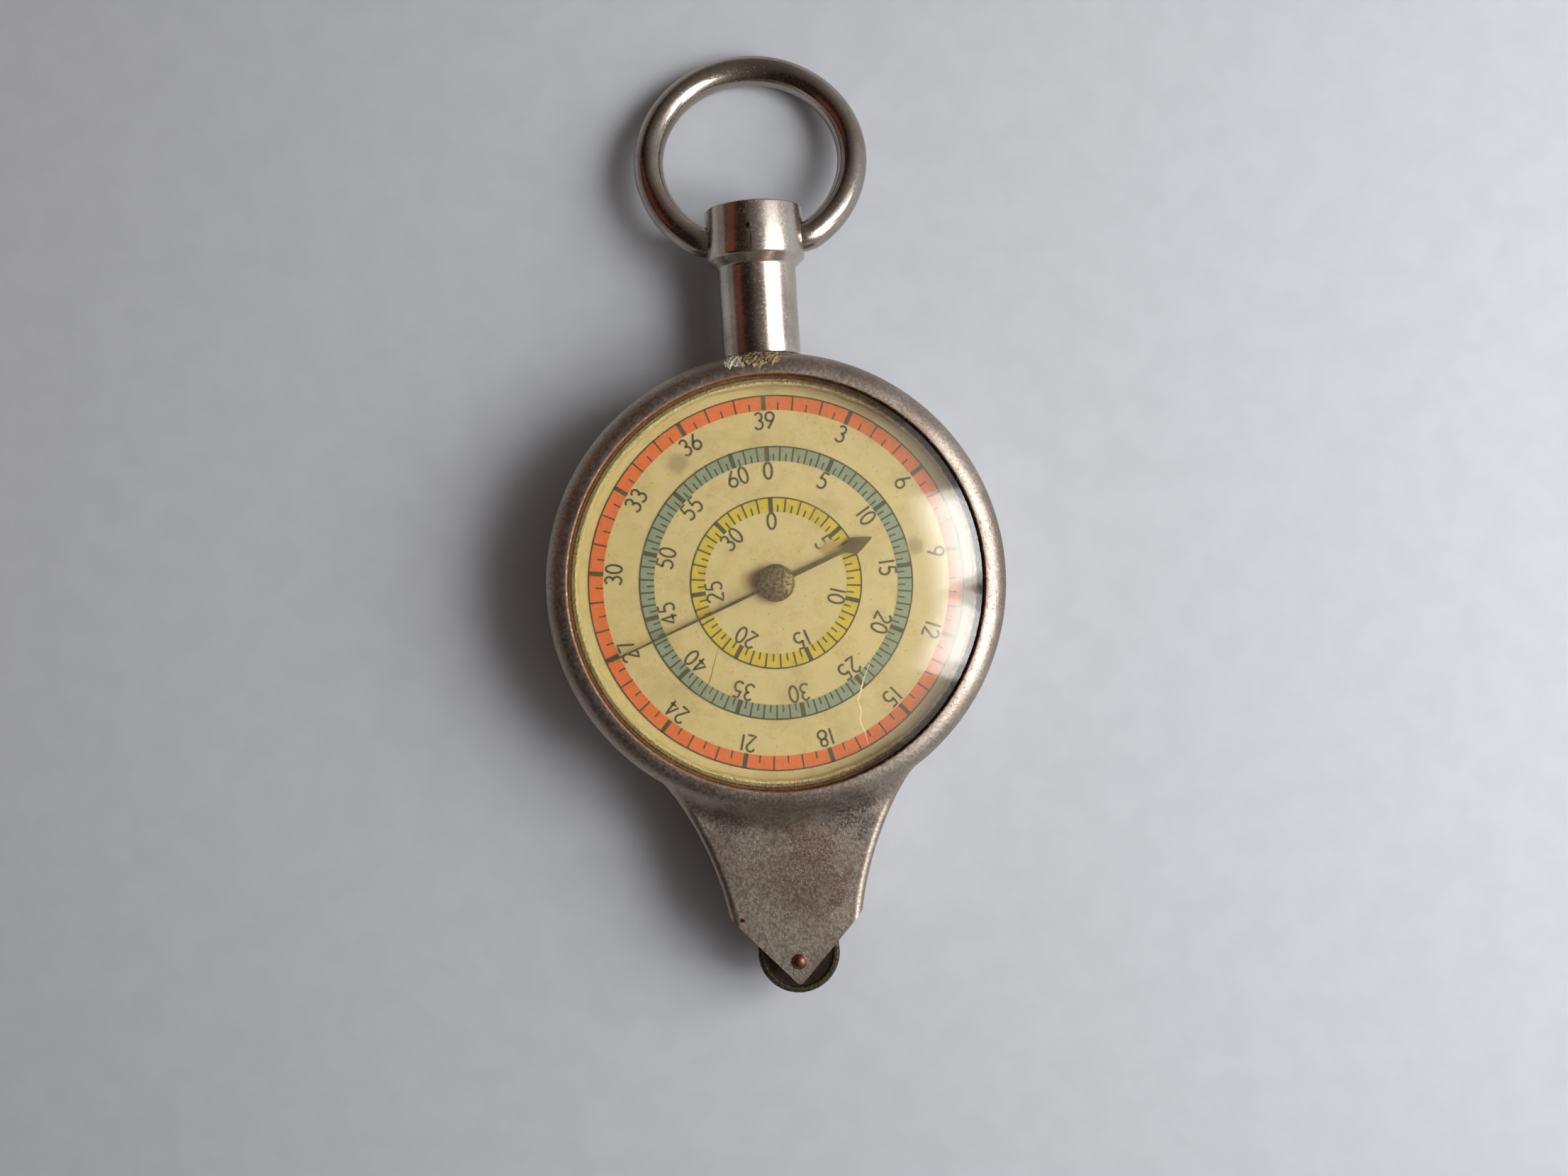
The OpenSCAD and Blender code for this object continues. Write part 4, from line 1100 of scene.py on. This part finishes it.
def solder_crust():
    """A lumpy skin from the crest of the bead, over its shoulder and down the wall."""
    x = np.linspace(CRUST_FROM, CRUST_TO, CRUST_ACROSS)[:, None]
    t = np.linspace(0, 1, CRUST_DEEP)[None, :]
    start = (CRUST_NEAR + 0.5 * ((x + 0.8) / 2.3) ** 2
             + 0.14 * np.sin(5.1 * x) + 0.08 * np.sin(13 * x + 1))
    first = np.arcsin(np.clip((start - (CASE_R - BEAD_W)) / BEAD_W, 0, 0.97))
    turn = first + (math.pi / 2 - first) * np.clip(t / SHOULDER, 0, 1)
    down = np.clip((t - SHOULDER) / (1 - SHOULDER), 0, 1) * (CREST_Z - BEAD_H - CRUST_END_Z)
    r = CASE_R - BEAD_W + BEAD_W * np.sin(turn)
    z = CREST_Z - BEAD_H + BEAD_H * np.cos(turn) - down
    lumps = (np.sin(7.3 * x + 2 * np.sin(9 * t)) * np.sin(16 * t + 1.5 * np.sin(4 * x))
             + 0.6 * np.sin(17 * x + 1) * np.sin(31 * t))
    fade = np.clip(np.minimum(t / 0.15, np.minimum(x - CRUST_FROM, CRUST_TO - x) / 0.5), 0, 1)
    height = (0.09 + 0.07 * lumps) * fade - 0.04 * (1 - fade)
    r = r + height * np.sin(turn)
    z = np.minimum(z + height * np.cos(turn), CREST_Z - 0.02)
    points = np.stack([r * np.sin(x / CASE_R), r * np.cos(x / CASE_R), z], -1).reshape(-1, 3)
    return points, quads(CRUST_ACROSS, CRUST_DEEP)


crust = piece("solder_crust", solder_crust(), old_solder, "root", crease=60)
thicken(crust, CRUST_T, crease=60)

# %% [markdown]
# ## The ring
# The ring is one length of wire, bent round and sprung into the two sockets, where it swings.
# A round section is swept along that line. Lying down, it leans until it touches the table.

# %% The line of the wire
WIRE_R, RING_R = 1.15, 8.0
BEND_X = HEAD_R + 0.32
RING_RISE = math.sqrt(RING_R ** 2 - BEND_X ** 2)
RING_TILT = math.asin((SEAM_Z - WIRE_R - 0.02) / (RING_RISE + RING_R))
STUB = BEND_X - HEAD_R + SOCKET_DEPTH - 0.2


def ring_path():
    """Middle line of the wire in the ring's own plane, from one socket round to the other."""
    end = math.acos(RING_RISE / RING_R)
    sweep = np.linspace(end - math.pi / 2, 1.5 * math.pi - end, 150)
    arch = [(RING_R * math.cos(a), RING_RISE + RING_R * math.sin(a)) for a in sweep]
    line = [(BEND_X - STUB, 0.0), (BEND_X - 0.25, 0.0), *arch[1:-1],
            (-BEND_X + 0.25, 0.0), (-BEND_X + STUB, 0.0)]
    return np.array(line)


# %% The wire along it
def wire(path, radius, sides):
    """Round wire along a flat path: points and faces, with closed ends."""
    run = np.gradient(path, axis=0)
    run /= np.linalg.norm(run, axis=1)[:, None]
    side = np.stack([-run[:, 1], run[:, 0]], 1)
    points, faces = [], []
    for p, s in zip(path, side):
        for k in range(sides):
            a = 2 * math.pi * k / sides
            flat = p + s * radius * math.cos(a)
            points.append((flat[0], flat[1], radius * math.sin(a)))
    for i in range(len(path) - 1):
        for k in range(sides):
            n = (k + 1) % sides
            faces.append([i * sides + k, i * sides + n, (i + 1) * sides + n, (i + 1) * sides + k])
    faces.append(list(range(sides))[::-1])
    faces.append([(len(path) - 1) * sides + k for k in range(sides)])
    return np.array(points), faces


points, faces = wire(ring_path(), WIRE_R, sides=40)
lean = -RING_TILT
y = points[:, 1] * math.cos(lean) - points[:, 2] * math.sin(lean)
z = points[:, 1] * math.sin(lean) + points[:, 2] * math.cos(lean)
leaning = np.stack([points[:, 0], RING_Y + y, SEAM_Z + z], 1)
piece("wire_ring", (leaning, faces), ring_nickel, "hanger", ["ring"], crease=50)

# %% [markdown]
# ## The tracing wheel and its axle
# The wheel is a turned bronze disc with a shallow dish in its face and a narrow band at the
# rim. The axle is a pin whose ends were hammered into domes. Both are turned from profiles
# here, and the faces of the band get a paler finish of their own, a painted highlight.

# %% Wheel
low, high = box_mm("tracing_wheel")
WHEEL_R = (high[1] - low[1]) / 2
WHEEL_LOW, WHEEL_TOP = low[2], high[2]
BEVEL, BAND, DISH = 0.15, 0.3, 0.15
HOLE_R, BOSS_R = 0.44, 1.0
DISH_R = WHEEL_R - BEVEL - BAND
profile = [(HOLE_R, WHEEL_LOW), (WHEEL_R - BEVEL, WHEEL_LOW), (WHEEL_R, WHEEL_LOW + BEVEL),
           (WHEEL_R, WHEEL_TOP - BEVEL), (WHEEL_R - BEVEL, WHEEL_TOP), (DISH_R, WHEEL_TOP),
           (DISH_R - 0.1, WHEEL_TOP - DISH), (BOSS_R + 0.1, WHEEL_TOP - DISH),
           (BOSS_R, WHEEL_TOP), (HOLE_R, WHEEL_TOP)]
points, faces = turned(eased(profile, 0.05, closed=True), 128, closed=True, centre=(0, AXLE_Y, 0))
points = np.array(points)
radius = np.hypot(points[:, 0], points[:, 1] - AXLE_Y)
sorted_faces = [(f, int(radius[f].min() > DISH_R - 0.02)) for f in faces]
piece("bronze_wheel", (points, sorted_faces), [bronze, bronze_rim_highlight], "tracer",
      ["tracing_wheel"])

# %% Axle with its two domed heads
low, high = box_mm("wheel_axle")
RIVET_R, AXLE_R, RIVET_H = high[0], 0.4, 0.4
SEAT_Z = NOSE_Z + 0.005
head = [(RIVET_R * math.cos(a), RIVET_H * math.sin(a))
        for a in np.linspace(0, math.pi / 2, 12)[:-1]] + [(0, RIVET_H)]
profile = [(r, SEAT_Z + h) for r, h in head[::-1]]
profile += [(AXLE_R, SEAT_Z), (AXLE_R, CREST_Z - SEAT_Z)]
profile += [(r, CREST_Z - SEAT_Z - h) for r, h in head]
pin = turned(profile, 64, centre=(0, AXLE_Y, 0))
piece("riveted_axle", pin, rivet_brass, "root", ["wheel_axle"])

# %% [markdown]
# ## The pieces that keep their CAD shape
# Gears, plates, posts and screws were cut to exact sizes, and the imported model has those
# sizes already. Drawing them again could only make them fit worse, so they just get their
# finish.

# %% Finishes for the kept pieces
KEPT = {
    "dial_card": aged_card, "tension_ring": brass, "dial_plate": brass, "dial_feet": brass,
    "centre_gear": brass, "second_gear": brass, "first_gear": brass, "wheel_pinion": brass,
    "movement_plate_front": brass, "movement_plate_back": brass, "pillars": brass,
    "standoffs": brass, "axle_spacers": brass, "stem_nut": brass,
    "centre_arbor": steel, "second_arbor": steel, "first_arbor": steel, "movement_screws": steel,
}
for node, finish in KEPT.items():
    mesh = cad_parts[node].data
    mesh.materials.clear()
    mesh.materials.append(finish)
print(len(KEPT), "pieces keep their CAD shape")

# %% [markdown]
# ## Table and light
# The tool lies on a plain pale table. A large window to the right, parted by a bar, gives the
# two bright panes mirrored in the crystal. Each pane is two flat lights that overlap: the whole
# window, and the brighter sky in its upper part. A wide dim light is the pale frame round the
# panes, and a red one is a curtain, mirrored on the left. The room behind is a plain gradient,
# dark on the far side and pale on the window's, for a dim light all round.

# %% Table
FLOOR, FLOOR_Z = 600.0, -0.02
# A plain matt grey, which takes a soft shadow and draws no look away from the tool.
floor_material, tree, place = new_finish("pale_table")
grain = patches(tree, place, 3.0, 0.3, 0.7)
dress(floor_material, {"Roughness": 0.9, "Base Color": coat(tree, "#B9BCC1", "#BDC0C5", grain)})
floor_mesh = bpy.data.meshes.new("table")
corners = np.array([(-1, -1), (1, -1), (1, 1), (-1, 1)]) * FLOOR
floor_mesh.from_pydata([(x * MM, y * MM, FLOOR_Z * MM) for x, y in corners], [], [(0, 1, 2, 3)])
floor_mesh.materials.append(floor_material)
floor = bpy.data.objects.new("table", floor_mesh)
scene.collection.objects.link(floor)

# %% Window, frame and curtain
SEEN_FROM = (13.5, 0.0, 10.0)
PANE_AWAY = 200.0


def pane(name, lean, aside, glow, colour="#FFFFFF", full_at=None):
    """A soft flat light filling a range of angles, seen from the crystal's right edge.

    Lean is measured from overhead toward +X and aside toward +Y, both in degrees; glow is
    how bright the pane looks, where 1 is white paper in full light. With full_at, the pane
    starts dark at its upper edge and is fully bright at that lean, like a window under a blind.
    """
    a, b = (math.radians(sum(pair) / 2) for pair in (lean, aside))
    half_tall = math.radians(lean[1] - lean[0]) / 2
    tall, wide = (2 * PANE_AWAY * math.tan(math.radians(pair[1] - pair[0]) / 2) * MM
                  for pair in (lean, aside))
    data = bpy.data.lights.new(name, "AREA")
    data.shape = "RECTANGLE"
    data.size, data.size_y = wide, tall
    data.energy = glow * math.pi * wide * tall
    data.color = linear(colour)[:3]
    if full_at:
        data.use_nodes = True
        tree = data.node_tree
        down = 0.5 + math.tan(math.radians(full_at) - a) / (2 * math.tan(half_tall))
        on_pane = add(tree, "NewGeometry", {}, "Parametric")
        height = add(tree, "SeparateXYZ", {"Vector": on_pane}, "Y")
        bright = add(tree, "MapRange", SOFT | {0: height, 1: 1.0, 2: 1 - down})
        fill(tree, tree.nodes["Emission"], {"Strength": bright})
    lamp = bpy.data.objects.new(name, data)
    toward = Vector((math.sin(a) * math.cos(b), math.sin(b), math.cos(a) * math.cos(b)))
    lamp.location = (Vector(SEEN_FROM) + toward * PANE_AWAY) * MM
    lamp.rotation_euler = (-toward).to_track_quat("-Z", "Y").to_euler()
    scene.collection.objects.link(lamp)
    print(f"{name}: {wide / MM:.0f} x {tall / MM:.0f} mm")


LEFT_PANE, RIGHT_PANE = (-20.0, -6.0), (-1.4, 15.5)
pane("window_left", (20.0, 68.0), LEFT_PANE, 5.4, full_at=36.0)
pane("window_right", (20.0, 68.0), RIGHT_PANE, 5.4, full_at=36.0)
pane("sky_in_left_pane", (18.0, 45.0), LEFT_PANE, 6.4, full_at=31.0)
pane("sky_in_right_pane", (18.0, 45.0), RIGHT_PANE, 6.4, full_at=31.0)
pane("window_frame", (14.0, 60.0), (-34.0, 30.0), 0.9, full_at=33.0)
pane("red_curtain", (-68.0, -50.0), (4.0, 44.0), 0.33, "#B8604A")

# %% The room
world = bpy.data.worlds.new("room")
world.use_nodes = True
tree = world.node_tree
facing = add(tree, "TexCoord", {}, "Generated")
to_window = add(tree, "SeparateXYZ", {"Vector": facing}, "X")
upward = add(tree, "SeparateXYZ", {"Vector": facing}, "Z")
to_ceiling = add(tree, "MapRange", {0: to_window, 1: -0.38, 2: 0.10})
to_pale_wall = add(tree, "MapRange", {0: to_window, 1: 0.12, 2: 0.95})
above_floor = add(tree, "MapRange", {0: upward, 1: 0.20, 2: 0.32})
far_side = coat(tree, "#8A8784", "#2E2521", above_floor)
room = coat(tree, coat(tree, far_side, "#766F69", to_ceiling), "#D2D4D8", to_pale_wall)
fill(tree, tree.nodes["Background"], {"Color": room})
scene.world = world
scene.view_settings.view_transform = "Standard"

# %% [markdown]
# ## The end
# The last line prints how many pieces were made, and their names.

# %% Pieces made
print(len(pieces_made), "pieces made:", ", ".join(pieces_made))
